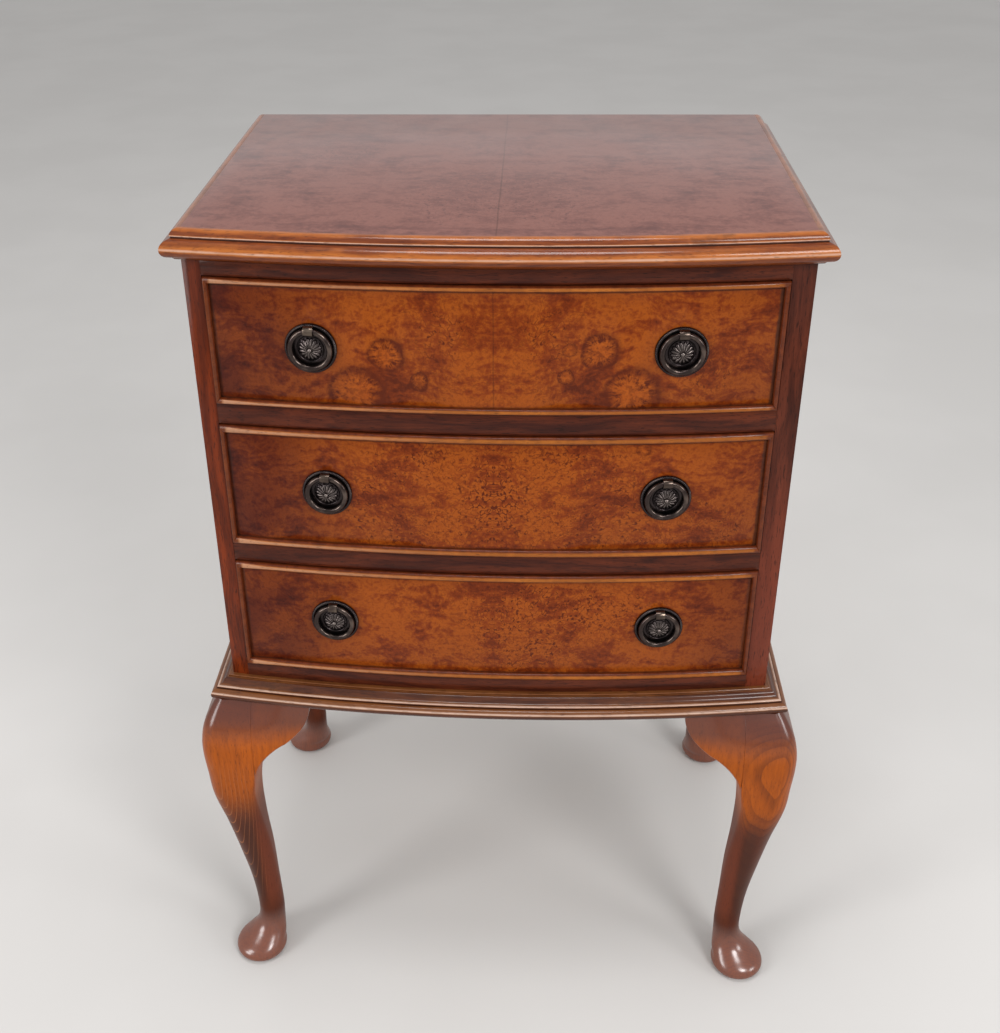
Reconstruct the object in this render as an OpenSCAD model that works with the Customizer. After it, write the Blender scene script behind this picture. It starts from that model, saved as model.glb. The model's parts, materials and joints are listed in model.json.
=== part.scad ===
// Bow-fronted bedside chest of three drawers on cabriole legs, walnut veneer.
// Millimetres, +Z up. Seen from the front, which faces -Y, +X is to the right.
// The origin lies on the floor under the middle of the whole outline.

/* [Carcass] */
// Width over the two carcass sides
carc_w = 440; // [380:5:520]
// Depth of the carcass from its front corners to its back
carc_d = 300; // [270:5:360]
// How far the middle of the bowed front stands ahead of its corners
bow_rise = 15.5; // [8:0.5:24]
// Thickness of the carcass sides
side_t = 16.5; // [14:0.5:20]
// Thickness of the plywood back
back_t = 5; // [4:0.5:8]
// Width of the rebate that takes the back
back_rebate = 8; // [5:0.5:10]
// Thickness of the board that closes the carcass below
floor_t = 6; // [4:0.5:9]

/* [Rails] */
// Height of the rail under the top
frieze_h = 15; // [12:0.5:22]
// Height of each rail between two drawers
rail_h = 18; // [14:0.5:24]
// Height of the rail under the lowest drawer
bottom_rail_h = 13; // [11:0.5:20]
// Depth of the rails from the bowed front, measured at the middle
rail_d = 60; // [50:1:80]
// Length of the tenon at each end of a rail
tenon_l = 7; // [4:0.5:10]
// Shoulder left above and below a tenon
tenon_shoulder = 3; // [2:0.5:4]
// How far a tenon lies inside the front and the back of its rail
tenon_set = 7; // [5:0.5:10]
// Width of the runners along the carcass sides
runner_w = 22; // [16:1:30]
// Height of the stops behind the drawer fronts
stop_h = 5; // [3:0.5:6]

/* [Drawers] */
// Height of the top drawer opening
drawer_1_h = 100; // [85:1:125]
// Height of the middle drawer opening
drawer_2_h = 103; // [85:1:125]
// Height of the bottom drawer opening
drawer_3_h = 100; // [85:1:125]
// Gap between a drawer front and its opening, all round
drawer_gap = 0.7; // [0.5:0.1:1.2]
// Running gap between a drawer and its runners
runner_gap = 0.3; // [0.2:0.1:0.5]
// Thickness of a drawer front
front_t = 19; // [17:0.5:24]
// Thickness of a drawer side
drawer_side_t = 9.5; // [8:0.5:12]
// Thickness of a drawer back
drawer_back_t = 8; // [6:0.5:10]
// Thickness of a drawer bottom
drawer_bottom_t = 5; // [4:0.5:6]
// Height of the drawer bottom above the runner
bottom_raise = 8; // [7:0.5:10]
// Depth of the groove that holds a drawer bottom
groove_d = 5; // [3:0.5:5.5]
// Gap between a drawer side and whatever lies above it
drawer_head_gap = 4; // [3:0.5:8]
// Room left behind a closed drawer
drawer_back_room = 10; // [6:1:20]
// How many dovetails join a drawer side to its front
tails_front = 4; // [3:1:5]
// How many dovetails join a drawer side to its back
tails_back = 3; // [2:1:4]
// Length of the lapped tails in the front
tail_l = 11.5; // [9:0.5:12]
// How far each side of a tail spreads
tail_flare = 1.8; // [1:0.1:2.5]

/* [Cock beads] */
// Thickness of the bead strip round each drawer front
bead_t = 3; // [2.5:0.5:4]
// Depth of the rebate that the bead strip sits in
bead_seat = 6; // [4:0.5:7]
// How far the rounded bead stands proud of the veneer
bead_proud = 2.2; // [1.5:0.1:3]

/* [Top] */
// Thickness of the top
top_t = 22; // [18:0.5:26]
// How far the top stands out past the carcass at front and sides
top_overhang = 12; // [8:0.5:20]
// How far the top stands out past the carcass behind
top_back_overhang = 5; // [0:0.5:10]
// Width of the moulding planted on the front and side edges of the top
top_mould_w = 14; // [12:0.5:18]
// Radius of the upper quarter round of the top moulding
ovolo_r = 5; // [4:0.5:6]
// Depth of the quirk under the upper quarter round
quirk_h = 1.3; // [0.8:0.1:2]
// Radius of the large nose of the top moulding
top_nose_r = 6.5; // [5:0.5:7]

/* [Base] */
// Thickness of the moulded frame between carcass and legs
base_t = 18; // [16:0.5:24]
// Width of the frame members inside the line of the carcass
base_in_w = 55; // [45:1:70]
// How far the nose of the base moulding stands out past the carcass
base_proj = 17.2; // [14:0.2:22]
// Radius of that nose
base_nose_r = 4.6; // [3.5:0.1:5.5]
// Width of the flat ledge between the carcass and the base moulding
base_ledge = 3.4; // [2:0.2:5]

/* [Legs] */
// Height of the legs
leg_h = 309; // [270:1:360]
// Radius of the pad foot
foot_r = 23.4; // [19:0.2:26]
// How far the middle of a foot lies outside the carcass corner
foot_out = 4; // [0:0.5:8]
// Height of the widest line of the foot
foot_line = 7; // [5:0.5:10]
// Height of the ankle
ankle_z = 48; // [42:1:56]
// Radius of the ankle
ankle_r = 11.6; // [9.5:0.1:13]
// How far the middle of the ankle lies inside the carcass corner
ankle_in = 6.8; // [4:0.2:10]
// How far the knee stands out past the carcass corner
knee_out = 30; // [26:0.5:35]
// How far the inner faces of the leg lie inside the carcass corner
post_in = 16; // [14:0.5:20]
// How far the top of the leg stands out past the carcass corner
leg_top_out = 14; // [11:0.5:16]
// How far the back legs are set in from the back of the carcass
back_leg_set = 23; // [16:1:30]
// Diameter of the dowels between the legs and the base frame
dowel_d = 10; // [8:0.5:12]
// How far a dowel reaches into each piece
dowel_reach = 14; // [10:1:16]

/* [Ears] */
// Length of an ear along the base frame
ear_l = 49; // [40:1:60]
// Drop of an ear below the base frame where it meets the leg
ear_drop = 71; // [60:1:74]
// Length of the rounded tip of an ear
ear_tip_l = 23; // [18:1:28]
// Drop of an ear where its rounded tip turns into the hollow
ear_tip_drop = 41; // [34:1:48]
// Drop of the square end of the tip
ear_end_drop = 6; // [4:0.5:10]
// How far the tip stands out past the carcass
ear_tip_out = 12; // [9:0.5:13]
// Leg of the three-cornered glue blocks behind the ears
glue_block = 16; // [10:1:16]

/* [Pulls] */
// Distance between the two pulls of the top drawer
pull_pitch_1 = 262; // [200:1:290]
// Distance between the two pulls of the middle drawer
pull_pitch_2 = 254; // [200:1:290]
// Distance between the two pulls of the bottom drawer
pull_pitch_3 = 257; // [200:1:290]
// Height of the pulls above the middle of their drawer
pull_rise = 1.5; // [0:0.5:6]
// Diameter of the back plate
plate_d = 38.4; // [35:0.2:42]
// Thickness of the plate under the ring
plate_t = 1.7; // [1.2:0.1:2.2]
// Radius of the rolled rim of the plate
rim_r = 1.3; // [1:0.1:1.6]
// Radius of the domed rosette
rosette_r = 10; // [8.6:0.2:10.4]
// Height of the rosette above the drawer front
rosette_h = 5.2; // [4:0.1:6]
// Number of petals cut into the rosette
petals = 16; // [10:1:20]
// Diameter of the bar that the ring is made of
ring_bar = 4.2; // [3:0.1:4.4]
// Diameter of the ring through the middle of its bar
ring_d = 28.8; // [28:0.2:31]
// Width of the eye that holds the ring
eye_w = 7; // [5:0.5:8]
// Wall of the eye round its hole
eye_wall = 0.9; // [0.7:0.1:1.6]
// Gap between the ring's bar and the hole of the eye
eye_gap = 0.7; // [0.7:0.1:0.9]
// Diameter of the threaded shank behind the eye
shank_d = 3.6; // [3:0.1:4]
// Width across the corners of the hexagonal nut
nut_w = 9; // [8:0.5:11]
// Thickness of that nut
nut_t = 3; // [2.5:0.5:4]

/* [Screws] */
// Diameter of the wood screws
screw_d = 4; // [3.5:0.1:5]
// Diameter of a screw's head
screw_head_d = 8; // [7:0.1:10]
// How far a screw reaches into the piece that it holds
screw_grip = 12; // [10:1:14]

/* [Joints] */
// Hairline left open in the mitres of the bead strips and round the threads of the nuts
hairline = 0.1; // [0.05:0.05:0.2]

/* [Hidden] */

// Heights, from the floor up
base_z = leg_h;
carc_z = base_z + base_t;
open_3_z = carc_z + bottom_rail_h;
open_2_z = open_3_z + drawer_3_h + rail_h;
open_1_z = open_2_z + drawer_2_h + rail_h;
frieze_z = open_1_z + drawer_1_h;
top_z = frieze_z + frieze_h;
full_h = top_z + top_t;
open_z = [open_1_z, open_2_z, open_3_z];
open_h = [drawer_1_h, drawer_2_h, drawer_3_h];
pull_pitch = [pull_pitch_1, pull_pitch_2, pull_pitch_3];

// Plan: Y is 0 at the front corners of the carcass here, and front_y moves it all into place
half_w = carc_w / 2;
inner_half = half_w - side_t;
bow_r = (half_w * half_w + bow_rise * bow_rise) / (2 * bow_rise);
bow_cy = bow_r - bow_rise;
leg_back_y = carc_d - back_leg_set;
front_reach = bow_rise + base_proj;
back_reach = carc_d + top_back_overhang;
front_y = (front_reach - back_reach) / 2;
ahead = bow_rise + 60;

// Drawer boxes
drawer_half = inner_half - drawer_gap;
box_inner_half = drawer_half - drawer_side_t;
box_back_y = carc_d - back_t - drawer_back_room;
rail_back_y = rail_d - bow_rise;
bow_face = 720;
tiny = 0.01;

// Pulls: heights are measured outward from the drawer front
eye_hole_r = ring_bar / 2 + eye_gap;
ring_lift = plate_t + ring_bar / 2 + runner_gap;
eye_r = eye_hole_r + eye_wall;

wood_dark = [0.30, 0.14, 0.08];
wood_mid = [0.50, 0.25, 0.12];
wood_light = [0.66, 0.40, 0.20];
wood_pale = [0.76, 0.60, 0.40];
metal_dark = [0.25, 0.22, 0.20];

// Y of a bow that runs a given distance outside the carcass front
function bow_y(x, out = 0) = bow_cy - sqrt(pow(bow_r + out, 2) - x * x);

// Points of a circular arc through p and q that swells by rise to the left of the way from p to q
function arc_between(p, q, rise, n) =
    let (
        chord = norm(q - p),
        r = (chord * chord / 4 + rise * rise) / (2 * abs(rise)),
        side = rise > 0 ? 1 : -1,
        along = (q - p) / chord,
        across = [-along[1], along[0]] * side,
        centre = (p + q) / 2 - across * (r - abs(rise)),
        half = asin(chord / 2 / r)
    )
    [for (i = [0:n]) let (t = -half + 2 * half * i / n) centre + r * (across * cos(t) + along * sin(t))];

// Points of a circular arc about c, from one angle to another
function arc_about(c, r, from, to, n) =
    [for (i = [0:n]) let (a = from + (to - from) * i / n) c + r * [cos(a), sin(a)]];

// A smooth line through rows of [height, value, ...], read at one height
function slope_at(rows, i, k) =
    let (a = max(i - 1, 0), b = min(i + 1, len(rows) - 1))
    (rows[b][k] - rows[a][k]) / (rows[b][0] - rows[a][0]);
function row_below(rows, z) = max([for (i = [0:len(rows) - 2]) rows[i][0] <= z ? i : 0]);
function smooth_read(rows, z, k) =
    let (
        i = row_below(rows, z),
        h = rows[i + 1][0] - rows[i][0],
        t = (z - rows[i][0]) / h,
        m0 = slope_at(rows, i, k) * h,
        m1 = slope_at(rows, i + 1, k) * h
    )
    (2 * t * t * t - 3 * t * t + 1) * rows[i][k] + (t * t * t - 2 * t * t + t) * m0
    + (3 * t * t - 2 * t * t * t) * rows[i + 1][k] + (t * t * t - t * t) * m1;

module placed() {
    translate([0, front_y, 0]) children();
}

// Everything inside a bow that runs a given distance outside the carcass front
module bow_disc(out) {
    translate([0, bow_cy]) circle(r = bow_r + out, $fn = bow_face);
}

module bow_strip(out, inset, half) {
    intersection() {
        difference() {
            bow_disc(out);
            bow_disc(-inset);
        }
        translate([-half, -ahead]) square([2 * half, 2 * ahead]);
    }
}

// Slope of the mitre between a bowed front member and a straight side member
function mitre_fall(x) = (bow_r - x) / sqrt(bow_r * bow_r - x * x);

module mitre_front_area(x, y, inward) {
    fall = mitre_fall(x);
    polygon([
        [x - inward, y + inward * fall], [x + ahead, y - ahead * fall], [x + ahead, -2 * ahead],
        [-x - ahead, -2 * ahead], [-x - ahead, y - ahead * fall], [inward - x, y + inward * fall]
    ]);
}

module mitre_side_area(x, y, inward, back) {
    fall = mitre_fall(x);
    polygon([
        [x - inward, y + inward * fall], [x + ahead, y - ahead * fall],
        [x + ahead, back], [x - inward, back]
    ]);
}

module bow_swept(r) {
    sweep = 2 * asin((half_w + ahead) / bow_r);
    translate([0, bow_cy, 0]) rotate([0, 0, -90 - sweep / 2])
        rotate_extrude(angle = sweep, $fn = bow_face) translate([r, 0]) children();
}

module side_swept(x, back) {
    translate([x, back, 0]) rotate([90, 0, 0]) linear_extrude(back + ahead) children();
}

// Top with its planted moulding; the profile runs outward from the field and down from the top
field_half = half_w + top_overhang - top_mould_w;
field_out = top_overhang - top_mould_w;
field_y = bow_y(field_half, field_out);

module top_board() {
    color(wood_mid) placed() difference() {
        translate([0, 0, top_z]) linear_extrude(top_t) intersection() {
            bow_disc(field_out);
            translate([-field_half, -ahead]) square([2 * field_half, ahead + back_reach]);
        }
        top_screws();
    }
}

top_root = 2;
quirk_floor = 0.6;
nose_start = 76;
arc_steps = 10;
module top_profile() {
    shelf_z = -ovolo_r - quirk_h;
    nose = [top_mould_w - top_nose_r, shelf_z - quirk_floor - top_nose_r];
    polygon(concat(
        [[0, 0]],
        arc_about([top_root, -ovolo_r], ovolo_r, 90, 0, arc_steps),
        [[top_root + ovolo_r, shelf_z]],
        arc_about(nose, top_nose_r, nose_start, -90, 2 * arc_steps),
        [[nose[0] - top_root, -top_t], [0, -top_t]]
    ));
}

module top_moulding_front() {
    color(wood_light) placed() intersection() {
        translate([0, 0, full_h]) bow_swept(bow_r + field_out) top_profile();
        translate([0, 0, top_z - 1]) linear_extrude(top_t + 2) mitre_front_area(field_half, field_y, 0);
    }
}

module top_moulding_side() {
    intersection() {
        translate([0, 0, full_h]) side_swept(field_half, back_reach) top_profile();
        translate([0, 0, top_z - 1]) linear_extrude(top_t + 2)
            mitre_side_area(field_half, field_y, 0, back_reach + 1);
    }
}

module top_moulding_left() {
    color(wood_light) placed() mirror([1, 0, 0]) top_moulding_side();
}

module top_moulding_right() {
    color(wood_light) placed() top_moulding_side();
}

// Carcass
module rail_tenon(z, h) {
    translate([inner_half - tiny, tenon_set, z + tenon_shoulder])
        cube([tenon_l + tiny, rail_back_y - 2 * tenon_set, h - 2 * tenon_shoulder]);
}

module rail_tenons(z, h) {
    rail_tenon(z, h);
    mirror([1, 0, 0]) rail_tenon(z, h);
}

module front_rail(z, h) {
    translate([0, 0, z]) linear_extrude(h) intersection() {
        bow_disc(0);
        translate([-inner_half, -ahead]) square([2 * inner_half, ahead + rail_back_y]);
    }
    rail_tenons(z, h);
}

module side_panel() {
    difference() {
        translate([0, 0, carc_z]) linear_extrude(top_z - carc_z) intersection() {
            bow_disc(0);
            translate([inner_half, -ahead]) square([side_t, ahead + carc_d]);
        }
        translate([inner_half - 1, carc_d - back_t, carc_z - 1])
            cube([back_rebate + 1, back_t + 1, top_z - carc_z + 2]);
        rail_tenon(carc_z, bottom_rail_h);
        rail_tenon(open_2_z - rail_h, rail_h);
        rail_tenon(open_1_z - rail_h, rail_h);
        rail_tenon(frieze_z, frieze_h);
        base_screws();
    }
}

module side_left() {
    color(wood_dark) placed() mirror([1, 0, 0]) side_panel();
}

module side_right() {
    color(wood_dark) placed() side_panel();
}

module back_panel() {
    half = inner_half + back_rebate;
    color(wood_pale) placed() translate([-half, carc_d - back_t, carc_z])
        cube([2 * half, back_t, top_z - carc_z]);
}

module frieze_rail() {
    color(wood_dark) placed() difference() {
        front_rail(frieze_z, frieze_h);
        top_screws();
    }
}

module drawer_rail_upper() {
    color(wood_dark) placed() front_rail(open_1_z - rail_h, rail_h);
}

module drawer_rail_lower() {
    color(wood_dark) placed() front_rail(open_2_z - rail_h, rail_h);
}

module bottom_rail() {
    color(wood_dark) placed() difference() {
        front_rail(carc_z, bottom_rail_h);
        base_screws();
    }
}

back_rail_d = 45;
back_rail_y = carc_d - back_t - back_rail_d;
module back_top_rail() {
    color(wood_pale) placed() difference() {
        translate([-inner_half, back_rail_y, frieze_z]) cube([2 * inner_half, back_rail_d, frieze_h]);
        top_screws();
    }
}

module carcass_floor() {
    color(wood_pale) placed() translate([runner_w - inner_half, rail_back_y, carc_z])
        cube([2 * (inner_half - runner_w), carc_d - back_t - rail_back_y, floor_t]);
}

// The strips lie level with the rails, along both sides
module side_strip(z, h, back) {
    translate([inner_half - runner_w, rail_back_y, z]) cube([runner_w, back - rail_back_y, h]);
}

module drawer_runners() {
    color(wood_pale) placed() for (side = [0, 1]) mirror([side, 0, 0]) {
        side_strip(carc_z, bottom_rail_h, carc_d - back_t);
        side_strip(open_2_z - rail_h, rail_h, carc_d - back_t);
        side_strip(open_1_z - rail_h, rail_h, carc_d - back_t);
    }
}

module top_kickers() {
    color(wood_pale) placed() for (side = [0, 1]) mirror([side, 0, 0])
        side_strip(frieze_z, frieze_h, back_rail_y);
}

stop_x = inner_half * 0.55;
stop_w = 30;
stop_d = 12;
module drawer_stops() {
    color(wood_pale) placed() for (z = open_z, side = [0, 1]) mirror([side, 0, 0])
        translate([0, 0, z]) linear_extrude(stop_h) intersection() {
            bow_strip(-front_t - runner_gap, front_t + runner_gap + stop_d, stop_x + stop_w / 2);
            translate([stop_x - stop_w / 2, -ahead]) square([stop_w, 2 * ahead]);
        }
}

// Base frame with its moulded front and side edges; the profile runs outward from the carcass
base_fillet = 1.4;
base_quirk = 0.4;
base_swell = 0.8;
base_bead = 1.8;
module base_profile(inner) {
    nose = [base_proj - base_nose_r, base_nose_r + base_quirk - base_t];
    brow = [base_ledge + base_quirk, -base_fillet];
    bead = nose + [-base_fillet, base_nose_r + base_bead + base_quirk / 2];
    turn = brow + (bead - brow) * 0.45;
    polygon(concat(
        [[-inner, 0], [base_ledge, 0], [base_ledge, -base_fillet]],
        arc_between(brow, turn, base_swell, arc_steps / 2),
        arc_between(turn, bead, -base_swell, arc_steps / 2),
        arc_between(bead, bead + [base_quirk, -base_bead], base_bead * 0.47, arc_steps / 2),
        arc_about(nose, base_nose_r, 100, -90, 2 * arc_steps),
        [[nose[0] - base_fillet, -base_t], [-inner, -base_t]]
    ));
}

module base_frame_front() {
    color(wood_light) placed() difference() {
        intersection() {
            translate([0, 0, carc_z]) bow_swept(bow_r) base_profile(base_in_w);
            translate([0, 0, base_z - 1]) linear_extrude(base_t + 2)
                mitre_front_area(half_w, 0, base_in_w);
            translate([-2 * half_w, -2 * ahead, base_z]) cube([4 * half_w, 4 * ahead, base_t]);
        }
        base_screws();
        dowels();
    }
}

module base_frame_side() {
    difference() {
        intersection() {
            translate([0, 0, carc_z]) side_swept(half_w, carc_d) base_profile(base_in_w);
            translate([0, 0, base_z]) linear_extrude(base_t)
                mitre_side_area(half_w, 0, base_in_w, carc_d + 1);
        }
        base_screws();
        dowels();
    }
}

module base_frame_left() {
    color(wood_light) placed() mirror([1, 0, 0]) base_frame_side();
}

module base_frame_right() {
    color(wood_light) placed() base_frame_side();
}

module base_frame_back() {
    half = half_w - base_in_w;
    color(wood_pale) placed() translate([-half, carc_d - base_in_w, base_z])
        cube([2 * half, base_in_w, base_t]);
}

// Cabriole leg, drawn by the outer and inner lines of its pattern.
// A row is [height, outer line, inner line, roundness of outer corner, of the side corners].
function foot_row(z, wide, shift) =
    [z, foot_out - shift + wide * foot_r, foot_out - shift - wide * foot_r, 1, 1];

// Between foot and ankle: how far up, and how much of the foot's outer and inner edge is left
ankle_out = ankle_r - ankle_in;
ankle_back = -ankle_r - ankle_in;
function instep_row(up, outer, inner) = [
    ankle_z * up,
    ankle_out + outer * (foot_out + foot_r - ankle_out),
    ankle_back + inner * (foot_out - foot_r - ankle_back),
    1, 1
];

// Between ankle and ear: how far up, how much of the knee is reached, and the hollow behind
shank_rise = leg_h - ear_drop - ankle_z;
function shank_row(up, outer, hollow, corner, side) =
    [ankle_z + shank_rise * up, ankle_out + outer * (knee_out - ankle_out), hollow - post_in, corner, side];

// Above the ear's lower end: how far up, and how far the outer line has fallen back from the knee
knee_z = leg_h - ear_drop * 0.76;
knee_fall = knee_out - leg_top_out;
function knee_row(up, back, corner, side) =
    [knee_z + (leg_h - knee_z) * up, knee_out - knee_fall * back, -post_in, corner, side];

pattern = [
    foot_row(0, 0.74, 0),
    foot_row(foot_line * 0.35, 0.93, 0),
    foot_row(foot_line, 1, 0),
    foot_row(foot_line * 1.7, 0.93, 0.8),
    instep_row(0.355, 0.6, 0.59),
    instep_row(0.5, 0.26, 0.12),
    instep_row(0.69, 0.05, -0.12),
    instep_row(1, 0, 0),
    shank_row(0.2, 0.1, -1.4, 1, 1),
    shank_row(0.42, 0.335, -0.2, 0.96, 0.86),
    shank_row(0.64, 0.6, 2.6, 0.92, 0.66),
    shank_row(0.84, 0.885, 3.8, 0.86, 0.36),
    shank_row(0.98, 0.955, 1.2, 0.76, 0.06),
    knee_row(0, 0, 0.7, 0.03),
    knee_row(0.3, 0.056, 0.62, 0.03),
    knee_row(0.59, 0.27, 0.55, 0.03),
    knee_row(0.83, 0.656, 0.5, 0.03),
    knee_row(1, 1, 0.46, 0.03)
];
function outer_line(z) = smooth_read(pattern, z, 1);
function inner_line(z) = z >= knee_z ? -post_in : smooth_read(pattern, z, 2);

corner_steps = 7;
function corner_points(c, r, from) =
    [for (i = [0:corner_steps - 1]) let (a = from + 90 * (i + 0.5) / corner_steps) c + r * [cos(a), sin(a)]];
function leg_section(z) =
    let (
        o = outer_line(z),
        i = inner_line(z),
        w = (o - i) / 2,
        ro = w * smooth_read(pattern, z, 3),
        rs = w * smooth_read(pattern, z, 4)
    )
    [for (p = concat(
        corner_points([o - ro, o - ro], ro, 0),
        corner_points([i + rs, o - rs], rs, 90),
        corner_points([i + rs, i + rs], rs, 180),
        corner_points([o - rs, i + rs], rs, 270)
    )) [p[0], p[1], z]];
leg_levels = concat(
    [for (i = [0:12]) ankle_z * pow(i / 13, 1.3)],
    [for (i = [0:8]) ankle_z + shank_rise * i / 9],
    [for (i = [0:8]) leg_h - ear_drop + ear_drop * i / 8]
);

// A closed skin over rings of equal count, the first ring facing down
function skin_faces(rings, n) = concat(
    [[for (i = [0:n - 1]) i]],
    [for (k = [0:rings - 2], i = [0:n - 1]) let (a = k * n, j = (i + 1) % n) [a + i, a + n + i, a + n + j]],
    [for (k = [0:rings - 2], i = [0:n - 1]) let (a = k * n, j = (i + 1) % n) [a + i, a + n + j, a + j]],
    [[for (i = [n - 1:-1:0]) (rings - 1) * n + i]]
);

module leg() {
    rings = [for (z = leg_levels) leg_section(z)];
    faces = skin_faces(len(rings), len(rings[0]));
    polyhedron(points = [for (r = rings) each r], faces = faces, convexity = 6);
}

// Stands a piece that is drawn outward of one carcass corner at that corner
module at_front_corner(side) {
    mirror([side < 0 ? 1 : 0, 0, 0]) translate([half_w, 0, 0]) mirror([0, 1, 0]) children();
}

module at_back_corner(side) {
    mirror([side < 0 ? 1 : 0, 0, 0]) translate([half_w, leg_back_y, 0]) children();
}

dowel_at = [-1, -1];
module dowel() {
    translate([dowel_at[0], dowel_at[1], base_z - dowel_reach])
        cylinder(d = dowel_d, h = 2 * dowel_reach, $fn = 32);
}

module dowels() {
    for (side = [-1, 1]) {
        at_front_corner(side) dowel();
        at_back_corner(side) dowel();
    }
}

module front_leg(side) {
    color(wood_light) placed() at_front_corner(side) difference() {
        leg();
        dowel();
    }
}

// The backs of the rear legs are sawn flat, so that the chest stands against a wall
module back_leg(side) {
    color(wood_light) placed() at_back_corner(side) difference() {
        leg();
        dowel();
        translate([-half_w, back_reach - leg_back_y, 0]) cube([2 * half_w, half_w, leg_h]);
    }
}

module leg_front_left() {
    front_leg(-1);
}

module leg_front_right() {
    front_leg(1);
}

module leg_back_left() {
    back_leg(-1);
}

module leg_back_right() {
    back_leg(1);
}

module leg_dowels() {
    color(wood_pale) placed() dowels();
}

// Ears: shaped brackets that carry the line of the knee along under the base frame.
// The lower edge is an ogee, drawn from the leg to the tip as [way along, drop].
ear_steps = 6;
ear_turn = [ear_l - ear_tip_l, ear_tip_drop];
ear_hollow = arc_between([0, ear_drop], ear_turn, -5, ear_steps);
ear_round = arc_between(ear_turn, [ear_l, ear_end_drop], 4.5, ear_steps);
ear_edge = concat(ear_hollow, [for (i = [1:ear_steps]) ear_round[i]]);
ear_rows = 7;
function ease(t) = t * t * (3 - 2 * t);
function ear_face(along, z, bowed) =
    let (
        t = ease(min(along / ear_l, 1)),
        x = half_w - post_in - along,
        swell = bowed ? -bow_y(x) : 0
    )
    (1 - t) * outer_line(z) + t * ear_tip_out + swell * t;
function ear_column(along, drop, bowed) = concat(
    [for (i = [0:ear_rows]) let (z = leg_h - drop + drop * i / ear_rows)
        [-post_in - along, ear_face(along, z, bowed), z]],
    [[-post_in - along, 0, leg_h], [-post_in - along, 0, leg_h - drop]]
);
module ear(bowed) {
    columns = [for (p = ear_edge) ear_column(p[0], p[1], bowed)];
    n = ear_rows + 3;
    polyhedron(points = [for (c = columns) each c], faces = skin_faces(len(columns), n), convexity = 6);
}

// Turns a piece that lies along the front so that it lies along the side
module along_side() {
    mirror([1, -1, 0]) children();
}

module front_ears() {
    color(wood_light) placed() for (side = [-1, 1]) at_front_corner(side) ear(true);
}

module side_ears() {
    color(wood_light) placed() for (side = [-1, 1]) {
        at_front_corner(side) along_side() ear(false);
        at_back_corner(side) along_side() ear(false);
    }
}

module corner_block() {
    translate([-post_in, 0, base_z - ear_tip_drop]) linear_extrude(ear_tip_drop)
        polygon([[0, 0], [-glue_block, 0], [0, -glue_block]]);
}

module glue_blocks() {
    color(wood_pale) placed() for (side = [-1, 1]) {
        at_front_corner(side) corner_block();
        at_front_corner(side) along_side() corner_block();
        at_back_corner(side) along_side() corner_block();
    }
}

// Wood screws: a countersunk head, and a shank that passes through one piece into the next.
// The same shapes bore the pieces that they hold.
module screw(z, through) {
    translate([0, 0, z]) {
        cylinder(d = screw_d, h = through + screw_grip, $fn = 24);
        cylinder(d1 = screw_head_d, d2 = screw_d, h = (screw_head_d - screw_d) / 2, $fn = 24);
    }
}

screw_x = inner_half - runner_w - 25;
side_screw_y = [carc_d * 0.35, carc_d * 0.7];
module top_screws() {
    for (x = [-screw_x, 0, screw_x], y = [rail_back_y / 2, back_rail_y + back_rail_d / 2])
        translate([x, y, 0]) screw(frieze_z, frieze_h);
}

module base_screws() {
    for (x = [-screw_x, 0, screw_x])
        translate([x, rail_back_y / 2, 0]) screw(base_z, base_t);
    for (x = [side_t / 2 - half_w, half_w - side_t / 2], y = side_screw_y)
        translate([x, y, 0]) screw(base_z, base_t);
}

module carcass_screws() {
    color(metal_dark) placed() {
        top_screws();
        base_screws();
    }
}

// Drawers
function side_h(n) = open_h[n] - runner_gap - drawer_head_gap;

// One tail, drawn flat with its root at 0 and its wide end at length l
module tail_shape(l, w) {
    polygon([[-tiny, -w / 2], [-tiny, w / 2], [l, w / 2 + tail_flare], [l, -w / 2 - tail_flare]]);
}

function tail_pitch(n, count) = side_h(n) / count;
module tail_row(n, count, l) {
    pitch = tail_pitch(n, count);
    for (i = [0:count - 1])
        translate([0, (i + 0.5) * pitch]) tail_shape(l, pitch * 0.56);
}

// The tails of a right drawer side, toward the front (dir -1) or the back (dir 1)
module tails(n, count, l, y, dir) {
    translate([box_inner_half - tiny, y, open_z[n] + runner_gap])
        rotate([90, 0, 90]) linear_extrude(drawer_side_t + 2 * tiny)
            mirror([dir < 0 ? 1 : 0, 0]) tail_row(n, count, l);
}

module front_tails(n) {
    root_y = bow_y(drawer_half, -front_t);
    intersection() {
        tails(n, tails_front, 2 * front_t, root_y + tail_l * 0.4, -1);
        translate([0, 0, open_z[n] + runner_gap]) linear_extrude(side_h(n)) intersection() {
            bow_strip(tail_l - front_t, front_t, drawer_half);
            translate([box_inner_half, -ahead]) square([drawer_side_t, 2 * ahead]);
        }
    }
}

module back_tails(n) {
    intersection() {
        tails(n, tails_back, drawer_back_t, box_back_y - drawer_back_t, 1);
        translate([box_inner_half, box_back_y - drawer_back_t, open_z[n]])
            cube([drawer_side_t, drawer_back_t, open_h[n]]);
    }
}

module bottom_shape(n) {
    translate([0, 0, open_z[n] + bottom_raise]) linear_extrude(drawer_bottom_t) intersection() {
        bow_disc(groove_d - front_t);
        translate([-box_inner_half - groove_d, -ahead])
            square([2 * (box_inner_half + groove_d), ahead + box_back_y]);
    }
}

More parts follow.
